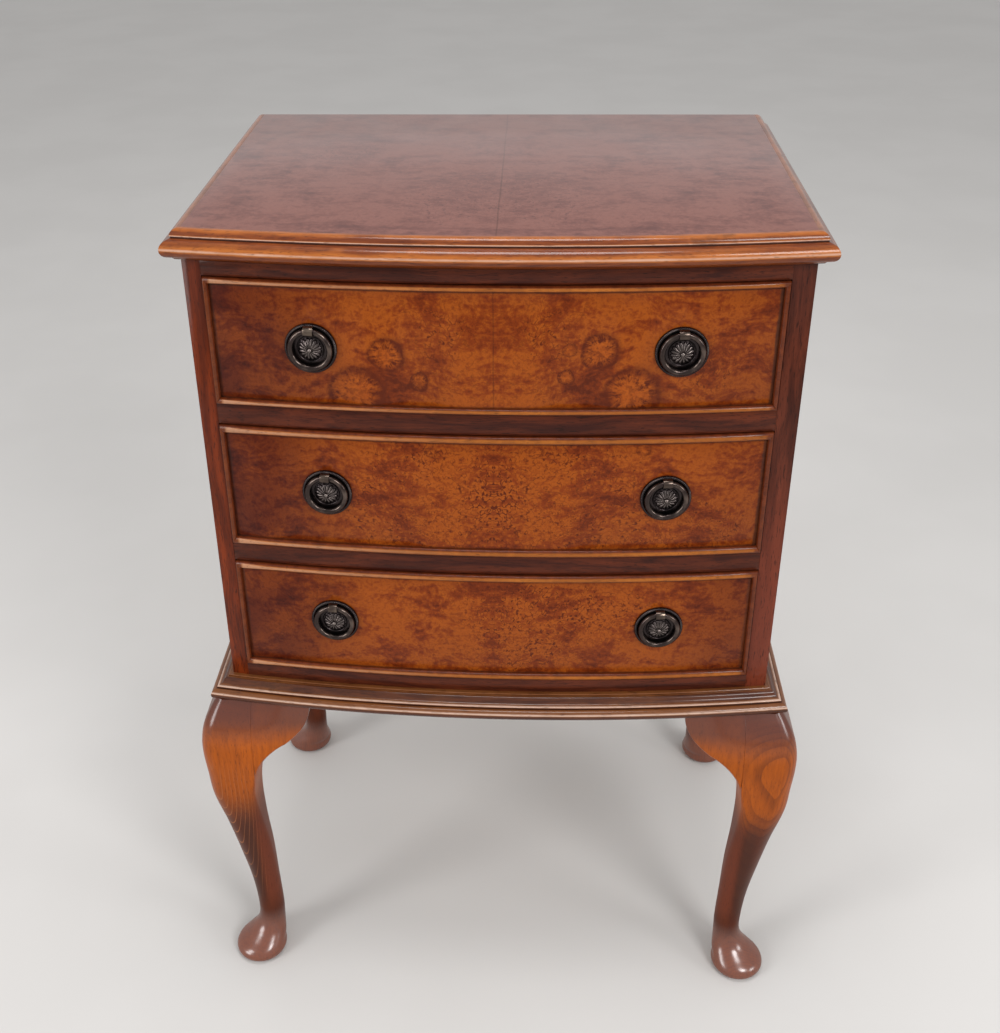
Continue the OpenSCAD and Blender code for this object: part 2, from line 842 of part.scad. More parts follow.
module drawer_front(n) {
    z = open_z[n] + drawer_gap;
    h = open_h[n] - 2 * drawer_gap;
    color(wood_mid) placed() difference() {
        union() {
            translate([0, 0, z]) linear_extrude(h) bow_strip(-bead_seat, front_t, drawer_half);
            translate([0, 0, z + bead_t]) linear_extrude(h - 2 * bead_t)
                bow_strip(0, front_t, drawer_half - bead_t);
        }
        front_tails(n);
        mirror([1, 0, 0]) front_tails(n);
        bottom_shape(n);
        pulls(n) shank_hole();
    }
}

// Section of a bead strip: its face line at x 0, its outer edge at y 0
module bead_section(deep) {
    round_at = [bead_proud - bead_t / 2, bead_t / 2];
    polygon(concat([[-deep, 0]], arc_about(round_at, bead_t / 2, -90, 90, arc_steps), [[-deep, bead_t]]));
}

// Room of one long bead, with its ends mitred at 45 degrees
module bead_mitre_long(h, slack = 0) {
    deep = drawer_half - slack;
    translate([0, ahead, 0]) rotate([90, 0, 0]) linear_extrude(2 * ahead)
        polygon([[-deep, 0], [deep, 0], [deep - h / 2, h / 2], [h / 2 - deep, h / 2]]);
}

module long_bead(h) {
    intersection() {
        bow_swept(bow_r) bead_section(bead_seat);
        bead_mitre_long(h, hairline);
    }
}

module end_bead(h) {
    difference() {
        intersection() {
            linear_extrude(h) bow_strip(bead_proud, bead_seat, drawer_half);
            linear_extrude(h) translate([drawer_half, bow_y(drawer_half)]) rotate([0, 0, -90])
                mirror([0, 1]) bead_section(2 * bead_seat);
        }
        bead_mitre_long(h);
        translate([0, 0, h]) mirror([0, 0, 1]) bead_mitre_long(h);
    }
}

module drawer_cock_beads(n) {
    z = open_z[n] + drawer_gap;
    h = open_h[n] - 2 * drawer_gap;
    color(wood_light) placed() translate([0, 0, z]) {
        long_bead(h);
        translate([0, 0, h]) mirror([0, 0, 1]) long_bead(h);
        end_bead(h);
        mirror([1, 0, 0]) end_bead(h);
    }
}

module drawer_side(n) {
    difference() {
        union() {
            translate([0, 0, open_z[n] + runner_gap]) linear_extrude(side_h(n)) intersection() {
                bow_disc(-front_t);
                translate([box_inner_half, -ahead])
                    square([drawer_side_t, ahead + box_back_y - drawer_back_t]);
            }
            front_tails(n);
            back_tails(n);
        }
        bottom_shape(n);
    }
}

module drawer_side_left(n) {
    color(wood_pale) placed() mirror([1, 0, 0]) drawer_side(n);
}

module drawer_side_right(n) {
    color(wood_pale) placed() drawer_side(n);
}

module drawer_back(n) {
    z = open_z[n] + bottom_raise + drawer_bottom_t;
    color(wood_pale) placed() difference() {
        translate([-drawer_half, box_back_y - drawer_back_t, z])
            cube([2 * drawer_half, drawer_back_t, open_z[n] + runner_gap + side_h(n) - z]);
        back_tails(n);
        mirror([1, 0, 0]) back_tails(n);
    }
}

module drawer_bottom(n) {
    color(wood_pale) placed() bottom_shape(n);
}

// Pulls: each is drawn at 0 with outward along -Y, then set square to the bow
module pull_at(n, side) {
    x = pull_pitch[n] / 2;
    translate([side * x, bow_y(x), open_z[n] + open_h[n] / 2 + pull_rise])
        rotate([0, 0, side * asin(x / bow_r)]) children();
}

module pulls(n) {
    for (side = [-1, 1]) pull_at(n, side) children();
}

module shank_hole() {
    translate([0, front_t + nut_t, ring_d / 2]) rotate([90, 0, 0])
        cylinder(d = shank_d, h = front_t + nut_t + plate_t + 1, $fn = 24);
}

module dished_plate() {
    rotate([90, 0, 0]) rotate_extrude($fn = 64) {
        square([plate_d / 2 - rim_r, plate_t]);
        translate([plate_d / 2 - rim_r, rim_r]) circle(r = rim_r, $fn = 24);
    }
}

// A low dome with a boss; the grooves between its petals run down from the boss
boss_r = 1.5;
petal_line = 0.45;
module rosette() {
    rise = rosette_h - plate_t;
    dome_r = (rosette_r * rosette_r + rise * rise) / (2 * rise);
    difference() {
        intersection() {
            translate([0, dome_r - rosette_h, 0]) sphere(r = dome_r, $fn = 64);
            translate([0, -plate_t + tiny, 0]) rotate([90, 0, 0])
                cylinder(r = rosette_r, h = rosette_h, $fn = 64);
        }
        for (i = [0:petals - 1]) rotate([0, 360 * (i + 0.5) / petals, 0])
            translate([boss_r, -rosette_h - petal_line, 0]) rotate([0, 0, atan(rise / (rosette_r - boss_r))])
                rotate([0, 90, 0]) cylinder(r = petal_line, h = 1.2 * rosette_r, $fn = 16);
    }
    translate([0, -rosette_h, 0]) sphere(r = boss_r, $fn = 24);
}

module plate() {
    difference() {
        union() {
            dished_plate();
            rosette();
        }
        shank_hole();
    }
}

// The eye sits over the rim of the plate
module eye_bolt() {
    difference() {
        rotate([0, 90, 0]) translate([-ring_d / 2, -ring_lift, -eye_w / 2]) linear_extrude(eye_w)
            difference() {
                union() {
                    circle(r = eye_r, $fn = 48);
                    translate([-eye_r, 0]) square([2 * eye_r, ring_lift - plate_t]);
                }
                translate([-2 * eye_r, ring_lift - plate_t]) square([4 * eye_r, eye_r]);
                circle(r = eye_hole_r, $fn = 48);
            }
        dished_plate();
    }
    translate([0, front_t + nut_t + 1, ring_d / 2]) rotate([90, 0, 0])
        cylinder(d = shank_d, h = front_t + nut_t + 1 + plate_t, $fn = 24);
}

module nut() {
    translate([0, front_t + nut_t, ring_d / 2]) rotate([90, 0, 0]) difference() {
        cylinder(d = nut_w, h = nut_t, $fn = 6);
        translate([0, 0, -1]) cylinder(d = shank_d + 2 * hairline, h = nut_t + 2, $fn = 24);
    }
}

module ring() {
    translate([0, -ring_lift, 0]) rotate([90, 0, 0]) rotate_extrude($fn = 64)
        translate([ring_d / 2, 0]) circle(d = ring_bar, $fn = 24);
}

module drawer_pull_plates(n) {
    color(metal_dark) placed() pulls(n) plate();
}

module drawer_pull_bolts(n) {
    color(metal_dark) placed() pulls(n) {
        eye_bolt();
        nut();
    }
}

module drawer_ring(n, side) {
    color(metal_dark) placed() pull_at(n, side) ring();
}

top_board();
top_moulding_front();
top_moulding_left();
top_moulding_right();
side_left();
side_right();
back_panel();
frieze_rail();
drawer_rail_upper();
drawer_rail_lower();
bottom_rail();
back_top_rail();
carcass_floor();
drawer_runners();
top_kickers();
drawer_stops();
base_frame_front();
base_frame_left();
base_frame_right();
base_frame_back();
leg_front_left();
leg_front_right();
leg_back_left();
leg_back_right();
front_ears();
side_ears();
glue_blocks();
leg_dowels();
carcass_screws();
for (n = [0:2]) {
    name = str("drawer_", n + 1, "_");
    drawer_front(n);
    drawer_cock_beads(n);
    drawer_side_left(n);
    drawer_side_right(n);
    drawer_back(n);
    drawer_bottom(n);
    drawer_pull_plates(n);
    drawer_pull_bolts(n);
    drawer_ring(n, -1);
    drawer_ring(n, 1);
}
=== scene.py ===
import json
import math

import bmesh
import bpy
from mathutils import Matrix, Vector

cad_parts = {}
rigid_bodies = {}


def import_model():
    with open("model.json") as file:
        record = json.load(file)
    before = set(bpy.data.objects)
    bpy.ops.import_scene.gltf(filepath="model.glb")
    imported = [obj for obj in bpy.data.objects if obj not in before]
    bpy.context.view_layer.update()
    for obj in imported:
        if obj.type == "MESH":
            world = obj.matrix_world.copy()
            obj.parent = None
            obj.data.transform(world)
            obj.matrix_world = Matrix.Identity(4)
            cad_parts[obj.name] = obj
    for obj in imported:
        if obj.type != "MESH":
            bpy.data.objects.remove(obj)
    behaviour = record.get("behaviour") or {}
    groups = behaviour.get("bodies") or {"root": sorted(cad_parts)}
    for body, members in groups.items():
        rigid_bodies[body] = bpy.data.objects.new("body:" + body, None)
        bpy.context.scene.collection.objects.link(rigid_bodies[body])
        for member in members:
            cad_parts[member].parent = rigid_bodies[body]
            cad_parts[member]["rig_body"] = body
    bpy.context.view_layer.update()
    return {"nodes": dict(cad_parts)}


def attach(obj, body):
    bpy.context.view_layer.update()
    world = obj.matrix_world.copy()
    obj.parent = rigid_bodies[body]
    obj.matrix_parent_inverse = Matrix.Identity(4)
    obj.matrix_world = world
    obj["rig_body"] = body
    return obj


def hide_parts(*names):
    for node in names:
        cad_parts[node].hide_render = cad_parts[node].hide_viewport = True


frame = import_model()
mm = 0.001

# ---- The photograph's view ----
# The camera stands in front of the chest and a little to its right, at head height,
# and looks down on it. The lens shift puts the chest where the photograph has it.
camera_turn, camera_dip, camera_lean = (math.radians(a) for a in (-3.60, 28.67, -0.90))
photo_width, photo_height = 1000, 1033
photo_reach = 1272.968
photo_middle = (465.1, 439.352)

forward = Vector((
    math.sin(camera_turn) * math.cos(camera_dip),
    math.cos(camera_turn) * math.cos(camera_dip),
    -math.sin(camera_dip),
))
level = Vector((math.cos(camera_turn), -math.sin(camera_turn), 0))
upright = level.cross(forward)
right = level * math.cos(camera_lean) + upright * math.sin(camera_lean)
up = upright * math.cos(camera_lean) - level * math.sin(camera_lean)
long_side = max(photo_width, photo_height)

lens = bpy.data.cameras.new("camera")
lens.sensor_width = 36
lens.lens = photo_reach * lens.sensor_width / long_side
lens.shift_x = (photo_width / 2 - photo_middle[0]) / long_side
lens.shift_y = (photo_middle[1] - photo_height / 2) / long_side
camera = bpy.data.objects.new("camera", lens)
camera.matrix_world = Matrix((
    (right.x, up.x, -forward.x, 0.02942),
    (right.y, up.y, -forward.y, -0.96530),
    (right.z, up.z, -forward.z, 1.00668),
    (0, 0, 0, 1),
))
bpy.context.scene.collection.objects.link(camera)
bpy.context.scene.camera = camera
bpy.context.scene.view_settings.view_transform = "Standard"


# ---- Studio ----
# A plain pale floor that runs out past every view, a pale surround, three broad soft lamps
# (high in front on the right, weaker on the left, overhead), and a low one on either side
# for the small highlights on the knees and feet.
class Wire:
    """One socket of a finish. Sums written on wires add the nodes that work them out."""

    def __init__(self, tree, socket):
        self.tree = tree
        self.socket = socket

    def node(self, kind, settings, sockets, out=0):
        """A new node of any other kind, set up and fed, read at one of its outputs."""
        made = self.tree.nodes.new(kind)
        for name, value in settings.items():
            if name == "stops":
                stops = made.color_ramp.elements
                while len(stops) < len(value):
                    stops.new(1)
                for stop, (place, colour) in zip(stops, value):
                    stop.position = place
                    stop.color = colour
            else:
                setattr(made, name, value)
        for name, value in sockets.items():
            if isinstance(value, Wire):
                self.tree.links.new(value.socket, made.inputs[name])
            else:
                made.inputs[name].default_value = value
        return Wire(self.tree, made.outputs[out] if len(made.outputs) else None)

    def sum(self, operation, first, second):
        pair = {0: first, 1: second}
        if self.socket.type in ("VECTOR", "RGBA"):
            if operation == "MULTIPLY" and not isinstance(second, tuple):
                operation, pair = "SCALE", {0: first, 3: second}
            return self.node("ShaderNodeVectorMath", {"operation": operation}, pair)
        return self.node("ShaderNodeMath", {"operation": operation}, pair)

    def __add__(self, other):
        return self.sum("ADD", self, other)

    def __radd__(self, other):
        return self.sum("ADD", other, self)

    def __sub__(self, other):
        return self.sum("SUBTRACT", self, other)

    def __rsub__(self, other):
        return self.sum("SUBTRACT", other, self)

    def __mul__(self, other):
        return self.sum("MULTIPLY", self, other)

    def __rmul__(self, other):
        return self.sum("MULTIPLY", self, other)

    def __truediv__(self, other):
        return self.sum("DIVIDE", self, other)

    def __abs__(self):
        return self.node("ShaderNodeMath", {"operation": "ABSOLUTE"}, {0: self})

    def clamped(self):
        return self.node("ShaderNodeClamp", {}, {0: self})

    def larger(self, other):
        return self.node("ShaderNodeMath", {"operation": "MAXIMUM"}, {0: self, 1: other})

    def length(self):
        return self.node("ShaderNodeVectorMath", {"operation": "LENGTH"}, {0: self}, 1)

    def part(self, axis):
        return self.node("ShaderNodeSeparateXYZ", {}, {0: self}, "XYZ".index(axis))

    def rises(self, low, high):
        """0 below low, 1 above high, smooth between. It falls where low is above high."""
        settings = {"interpolation_type": "SMOOTHSTEP"}
        return self.node("ShaderNodeMapRange", settings, {0: self, 1: low, 2: high, 3: 0.0, 4: 1.0})

    def noise(self, scale, detail=3.0, roughness=0.55, colour=False):
        sockets = {"Vector": self, "Scale": scale, "Detail": detail, "Roughness": roughness}
        return self.node("ShaderNodeTexNoise", {}, sockets, 1 if colour else 0)

    def drift(self, scale, detail=3.0, roughness=0.55):
        """A vector that wanders about nought, by up to a half each way."""
        return self.noise(scale, detail, roughness, colour=True) - (0.5, 0.5, 0.5)

    def relief(self, strength, depth):
        sockets = {"Strength": strength, "Distance": depth, "Height": self}
        return self.node("ShaderNodeBump", {}, sockets)

    def tint(self, below, above, how="MIX"):
        """The colour or wire below where this wire is 0, and above where it is 1."""
        settings = {"data_type": "RGBA", "blend_type": how}
        return self.node("ShaderNodeMix", settings, {0: self, 6: below, 7: above}, 2)


def srgb(red, green, blue):
    """A colour as it is read off a screen, as Blender's own numbers."""
    def linear(value):
        value /= 255
        return value / 12.92 if value <= 0.04045 else ((value + 0.055) / 1.055) ** 2.4
    return (linear(red), linear(green), linear(blue), 1)


def new_finish(name):
    """A material without a shader yet, and the wire of the piece's own coordinates."""
    material = bpy.data.materials.new(name)
    material.use_nodes = True
    material.node_tree.nodes.clear()
    coordinates = material.node_tree.nodes.new("ShaderNodeTexCoord")
    return material, Wire(material.node_tree, coordinates.outputs["Object"])


def shaded(material, at, sockets):
    """Closes a finish with its shader."""
    shader = at.node("ShaderNodeBsdfPrincipled", {}, sockets)
    at.node("ShaderNodeOutputMaterial", {}, {0: shader})
    return material


def new_mesh(name, points, faces):
    mesh = bpy.data.meshes.new(name)
    mesh.from_pydata(points, [], faces)
    mesh.update()
    return mesh


def add_piece(name, data):
    piece = bpy.data.objects.new(name, data)
    bpy.context.scene.collection.objects.link(piece)
    return piece


def add_mesh(name, points, faces):
    return add_piece(name, new_mesh(name, points, faces))


floor_reach = 9.0
floor = add_mesh(
    "floor",
    [(-floor_reach, -floor_reach, 0), (floor_reach, -floor_reach, 0),
     (floor_reach, floor_reach, 0), (-floor_reach, floor_reach, 0)],
    [(0, 1, 2, 3)],
)
floor_finish, at = new_finish("pale floor")
floor_cloud = at.noise(3.0).rises(0.35, 0.65)
floor.data.materials.append(shaded(floor_finish, at, {
    "Base Color": floor_cloud.tint((0.60, 0.585, 0.57, 1), (0.62, 0.605, 0.59, 1)),
    "Roughness": 0.9,
    "Specular IOR Level": 0.1,
}))

surround = bpy.data.worlds.new("surround")
surround.use_nodes = True
surround.node_tree.nodes.clear()
rays = surround.node_tree.nodes.new("ShaderNodeLightPath")
seen = Wire(surround.node_tree, rays.outputs["Is Camera Ray"])
mirrored = Wire(surround.node_tree, rays.outputs["Is Glossy Ray"])
sky_light, sky_shown = 0.60, 0.74
sky = seen.node("ShaderNodeBackground", {}, {
    0: (1, 1, 1, 1), 1: sky_light + (seen + mirrored) * (sky_shown - sky_light),
})
seen.node("ShaderNodeOutputWorld", {}, {0: sky})
bpy.context.scene.world = surround

lamp_aim = Vector((0, 0, 0.45))
for lamp_name, place, size, watts in (
    ("lamp_right", (1.5, -2.2, 2.3), 1.1, 40),
    ("lamp_left", (-2.1, -1.6, 1.9), 0.9, 15),
    ("lamp_above", (0.0, -0.2, 2.5), 0.9, 20),
    ("lamp_low_left", (-1.95, -1.45, 0.80), 0.9, 14),
    ("lamp_low_right", (1.9, -0.9, 0.9), 0.6, 7),
):
    lamp = bpy.data.lights.new(lamp_name, "AREA")
    lamp.shape = "DISK"
    lamp.size = size
    lamp.energy = watts
    holder = add_piece(lamp_name, lamp)
    holder.location = place
    holder.rotation_mode = "QUATERNION"
    holder.rotation_quaternion = (lamp_aim - Vector(place)).to_track_quat("-Z", "Y")


# ---- Carcass sides and rails ----
# Two straight-grained walnut sides, and four bowed walnut rails tenoned between them.
# They are stained dark and French polished, and every arris is eased by hand.
def finish_mesh(piece, sharp=32):
    """Faces outward, and smooth shading across all but the sharp edges."""
    model = bmesh.new()
    model.from_mesh(piece.data)
    bmesh.ops.recalc_face_normals(model, faces=model.faces)
    model.to_mesh(piece.data)
    model.free()
    piece.data.shade_smooth()
    piece.data.set_sharp_from_angle(angle=math.radians(sharp))
    return piece


def ease_edges(model, width, corner=25):
    """Rounds the edges that turn by more than a corner, in degrees."""
    edges = [
        e for e in model.edges
        if len(e.link_faces) == 2 and e.calc_face_angle(0) > math.radians(corner)
    ]
    bmesh.ops.bevel(
        model, geom=edges, offset=width, offset_type="OFFSET", segments=2, profile=0.5,
        affect="EDGES", clamp_overlap=True,
    )


def nudged(place, marks):
    """A place moved along with the marks on either side of it. Marks are in mm: where, how far."""
    place /= mm
    before = [m for m in marks if m[0] <= place] or marks[:1]
    after = [m for m in marks if m[0] > place] or marks[-1:]
    (low, low_shift), (high, high_shift) = before[-1], after[0]
    part = (place - low) / (high - low) if high > low and place > low else 0
    return (place + low_shift + (high_shift - low_shift) * part) * mm


# the left side is thinner than the right one, so the drawers reach further left, and the
# upright beads are broader than in the solids
across_marks = (
    (-220, 0), (-203.5, -3), (-202.8, -3), (-199.8, -2.2), (-190, 0),
    (190, 0), (199.8, -0.9), (202.8, 0),
)
# the rails sit a little higher than in the solids, and are a little thinner
rail_marks = ((340, 0), (440, 2.4), (458, 0.7), (561, 3.4), (579, 2.3), (679, 2.9), (694, 0))


def eased_copy(node, finish, width, upward=None, proud=1):
    """A CAD part with its edges eased, standing for that part.

    upward holds the marks that its heights move with, and proud is how many times further
    its rounded face stands out of the bow."""
    model = bmesh.new()
    model.from_mesh(frame["nodes"][node].data)
    bmesh.ops.remove_doubles(model, verts=model.verts, dist=2e-6)
    bmesh.ops.dissolve_limit(
        model, angle_limit=math.radians(0.02), verts=model.verts, edges=model.edges
    )
    ease_edges(model, width)
    for vertex in model.verts if upward else ():
        vertex.co.x = nudged(vertex.co.x, across_marks)
        vertex.co.z = nudged(vertex.co.z, upward)
        if proud > 1:
            spoke = Vector((vertex.co.x, vertex.co.y - bow_middle, 0))
            out = spoke.length - bow_radius
            if out > 0:
                vertex.co += spoke.normalized() * out * (proud - 1)
    mesh = bpy.data.meshes.new(node + "_eased")
    model.to_mesh(mesh)
    model.free()
    stand_for(finish_mesh(add_piece(node + "_eased", mesh)), node, finish)


def stand_for(piece, node, finish):
    """Gives a piece its finish, and hangs it on the body of the CAD part that it stands for."""
    piece.data.materials.clear()
    piece.data.materials.append(finish)
    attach(piece, frame["nodes"][node]["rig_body"])
    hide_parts(node)


def polished(
    material, at, colour, height, depth, roughness, coat=0.25, coat_roughness=0.16, bend=1.5
):
    """Wood under French polish: the wood's own relief shows a little, the polish lies smooth."""
    return shaded(material, at, {
        "Base Color": colour, "Roughness": roughness, "Normal": height.relief(0.6, depth),
        "Specular IOR Level": 0.06, "Coat Weight": coat, "Coat Roughness": coat_roughness,
        "Coat IOR": bend,
    })


def straight_grain(at, along, width):
    """Bands of straight grain as a wire from 0 to 1; width is how broad a band is, in metres."""
    squeeze = tuple(0.05 if axis == along else 1.0 for axis in "XYZ")
    return ((at + at.drift(7.0, 2.0) * 0.02) * squeeze).noise(1 / width, 4.0, 0.65)


def pores(at, along):
    """The short dark pores of walnut, 1 where there is a pore."""
    squeeze = tuple(0.09 if axis == along else 1.0 for axis in "XYZ")
    return (at * squeeze).noise(1500.0, 1.0, 0.4).rises(0.60, 0.70)


def stained_walnut(name, along, dark, light, lower_lightening=0.0):
    """Straight-grained walnut; the last argument is how much lighter its lower half is made."""
    material, at = new_finish(name)
    band = straight_grain(at, along, 6 * mm)
    pore = pores(at, along)
    blotch = at.noise(16.0, 4.0).rises(0.35, 0.7)
    colour = band.rises(0.32, 0.68).tint(dark, light)
    colour = (blotch * 0.5).tint(colour, dark)
    if lower_lightening:
        lower_lightened = at.part("Z").rises(0.58, 0.40) * (0.6 + band * 0.4) * lower_lightening
        colour = lower_lightened.tint(colour, srgb(126, 56, 36))
    colour = (pore * 0.6).tint(colour, srgb(24, 8, 4))
    return polished(material, at, colour, band + pore * -0.8, 0.12 * mm, 0.34 + blotch * 0.1)


rail_finish = stained_walnut("walnut_rail", "X", srgb(52, 19, 11), srgb(92, 40, 20))
for node, dark, light, lower_lightening in (
    ("side_left", srgb(74, 24, 5), srgb(124, 48, 14), 0),
    ("side_right", srgb(56, 22, 12), srgb(92, 42, 26), 0.75),
):
    finish = stained_walnut("walnut_" + node, "Z", dark, light, lower_lightening)
    eased_copy(node, finish, 0.5 * mm, rail_marks)
for node in ("frieze_rail", "drawer_rail_upper", "drawer_rail_lower", "bottom_rail"):
    eased_copy(node, rail_finish, 0.4 * mm, rail_marks)


# ---- Bare wood inside ----
# The parts that polish never reached: a plywood back and floor, oak runners, kickers,
# stops, glue blocks and dowels, and the drawers' dovetailed linings.
def bare_wood(name, along, dark, light):
    material, at = new_finish(name)
    band = straight_grain(at, along, 4 * mm)
    pore = pores(at, along)
    dust = at.noise(9.0, 4.0).rises(0.4, 0.75)
    colour = band.rises(0.3, 0.7).tint(dark, light)
    colour = (dust * 0.35).tint(colour, srgb(120, 88, 58))
    colour = (pore * 0.5).tint(colour, srgb(96, 66, 40))
    return shaded(material, at, {
        "Base Color": colour, "Roughness": 0.62 + dust * 0.15, "Specular IOR Level": 0.3,
        "Normal": (band + pore * -0.6).relief(0.7, 0.2 * mm),
    })


oak_tones = (srgb(166, 124, 82), srgb(200, 162, 114))
oak_along = {axis: bare_wood("bare_oak_" + axis.lower(), axis, *oak_tones) for axis in "XYZ"}
plywood = bare_wood("plywood", "Z", srgb(176, 132, 88), srgb(206, 166, 118))
for node, finish, upward in (
    ("back_panel", plywood, rail_marks), ("carcass_floor", plywood, rail_marks),
    ("back_top_rail", oak_along["X"], rail_marks), ("base_frame_back", oak_along["X"], None),
    ("drawer_runners", oak_along["Y"], rail_marks), ("top_kickers", oak_along["Y"], rail_marks),
    ("drawer_stops", oak_along["X"], rail_marks), ("glue_blocks", oak_along["Z"], None),
    ("leg_dowels", oak_along["Z"], None),
):
    eased_copy(node, finish, 0.3 * mm, upward)


# ---- Burr walnut top ----
# A board laid with two leaves of burr walnut, one the mirror of the other, with a moulding
# planted round its front and sides. The polish has dulled to a soft sheen.
def burr_walnut(
    name, face, joint, offset, eyes, tones, speckled, edges=None, shine=0.22, haze=0.14, seen=0.2
):
    """Two leaves of burr, mirrored at the joint. face names the two axes that they lie in.

    An eye is x, other, radius, strength; a speckled spot is x, other, reach; edges holds the
    settings for the painted shade and dirt at the veneer's ends and beside its beads; seen is how
    plain the joint is."""
    dark, middle, light = tones
    bright = tuple(min(c * 1.35, 1) for c in light)
    material, at = new_finish(name)
    # the leaves were cut one after the other, so they mirror each other, but not exactly
    loose = at + at.drift(9.0, 2.0) * 0.020
    leaf = at.node("ShaderNodeCombineXYZ", {}, {
        0: abs(loose.part("X") - joint), 1: loose.part(face[1]), 2: offset,
    })
    sway = leaf.drift(16.0, 3.0, 0.6) * 0.045
    cloud = leaf.noise(11.0, 2.0)
    patch = (leaf + sway).noise(34.0, 3.0, 0.55)
    flame = ((leaf + sway * 0.6) * (0.42, 1.0, 1.0)).noise(105.0, 4.0, 0.65)
    mottle = (leaf + sway * 0.3).noise(260.0, 3.0, 0.6)
    tone = cloud * 0.15 + patch * 0.25 + flame * 0.35 + mottle * 0.25
    colour = tone.node("ShaderNodeValToRGB", {"stops": [
        (0.39, dark), (0.465, middle), (0.54, light), (0.66, middle),
    ]}, {0: tone})
    flat = at.node("ShaderNodeCombineXYZ", {}, {0: at.part("X"), 1: at.part(face[1])})
    bent = flat + at.drift(38.0, 4.0, 0.6) * 0.011
    freckle = flat.noise(210.0, 3.0, 0.7).rises(0.44, 0.60)
    for x, y, radius, strength in eyes:
        spoke = bent - (x, y, 0)
        away = spoke.length()
        ray = spoke.node("ShaderNodeVectorMath", {"operation": "NORMALIZE"}, {0: spoke})
        streak = (ray + (0, 0, x * 40)).noise(6.5, 3.0, 0.7).rises(0.45, 0.58)
        inside = away.rises(radius * 0.95, radius * 0.6)
        colour = (inside * 0.55 * strength).tint(colour, bright)
        halo = away.rises(radius * 1.40, radius * 1.0) * (1 - inside)
        lower_right = spoke.part("X") * 0.6 - spoke.part(face[1])
        halo = halo * lower_right.rises(radius * -0.9, radius * 0.7)
        colour = (halo * 0.55 * strength).tint(colour, dark)
        rim = away.rises(radius * 0.86, radius * 0.97) * away.rises(radius * 1.12, radius * 1.0)
        shade = away.rises(radius * 0.45, radius * 0.95) * away.rises(radius * 1.10, radius * 0.92)
        fringe = away.rises(radius * 0.15, radius * 0.70) * away.rises(radius * 1.0, radius * 0.9)
        marks = rim * (0.35 + freckle * 0.5) + shade * patch.rises(0.62, 0.40) * 0.5
        marks = marks + streak * fringe * (0.45 + freckle * 0.4) + freckle * inside * 0.55
        colour = (marks * strength).clamped().tint(colour, dark)
    dots = leaf.node("ShaderNodeTexVoronoi", {}, {
        "Vector": leaf + sway * 0.25, "Scale": 230.0, "Randomness": 1.0,
    })
    dots = dots.rises(0.40, 0.18) * mottle.rises(0.46, 0.56)
    curls = abs((leaf + sway * 0.15).noise(230.0, 1.0, 0.5) - 0.5).rises(0.045, 0.012)
    dots = dots * 0.8 + curls * mottle.rises(0.40, 0.52) * 0.85
    pips = dots * leaf.noise(21.0, 3.0, 0.6).rises(0.48, 0.62) * 0.4
    for x, y, reach in speckled:
        away = (flat - (x, y, 0)).length()
        pips = pips + dots * (away + patch * 0.03).rises(reach + 15 * mm, reach * 0.7) * 0.75
    colour = pips.clamped().tint(colour, dark)
    fleck = (at * (1.0, 1.0, 0.6)).noise(850.0, 2.0).rises(0.54, 0.7)
    colour = (fleck * 0.3).tint(colour, dark)
    seam = abs(at.part("X") + (at.noise(14.0, 2.0) - 0.5) * 0.002 - joint)
    colour = (seam.rises(0.8 * mm, 0.2 * mm) * seen).tint(colour, srgb(58, 22, 10))
    dullness = at.noise(20.0, 3.0).rises(0.3, 0.7) * 0.08
    # painted shade and dirt at the veneer's ends and beside the beads; the same mask dulls the
    # polish
    if edges:
        colour, dirt_and_shade = dirt_and_painted_shade_edges(at, colour, *edges)
        dullness = dullness + dirt_and_shade * 0.3
    relief = flame + fleck * -0.2
    return polished(material, at, colour, relief, 0.05 * mm, 0.32 + dullness, shine, haze)


def dirt_and_painted_shade_edges(at, colour, left_half, right_half, low, high, grime_and_shade):
    """Veneer with painted shade towards its ends, darker along its top, and dark lines beside
    the beads that are partly old polish and dirt and partly painted shade.

    The last argument holds how dark the left and right lines are, and how dark the painted
    shade at the right end is."""
    x = at.part("X")
    # painted shade: the veneer darkens towards its left and right ends
    left_end = (x * -1.0).rises(left_half - 120 * mm, left_half - 10 * mm)
    left_end = left_end * (0.66 + at.noise(26.0, 3.0).rises(0.35, 0.60) * 0.32)
    right_end = x.rises(right_half - 80 * mm, right_half - 4 * mm)
    height = at.part("Z")
    upper = height.rises(high - 16 * mm, high)
    colour = (left_end + right_end * grime_and_shade[2]).tint(colour, (0.32, 0.22, 0.56, 1), "MULTIPLY")
    colour = (upper * 0.15).tint(colour, srgb(76, 24, 7))
    # dark lines beside the beads: partly old polish and dirt, partly painted shade in the corners
    ragged = (at.noise(70.0, 3.0) - 0.5) * 3.2 * mm
    right = (x + ragged).rises(right_half - 3.4 * mm, right_half - 1.6 * mm) * grime_and_shade[1]
    left = (x * -1.0 + ragged).rises(left_half - 3.0 * mm, left_half - 1.4 * mm) * grime_and_shade[0]
    above = (height + ragged * 0.3).rises(high - 1.9 * mm, high - 0.7 * mm) * 0.8
    below = (height * -1.0 + ragged * 0.3).rises(-low - 1.5 * mm, -low - 0.5 * mm) * 0.6
    dirt_and_shade = (right + left + above + below).clamped()
    return (dirt_and_shade * 0.8).tint(colour, srgb(54, 33, 25)), dirt_and_shade


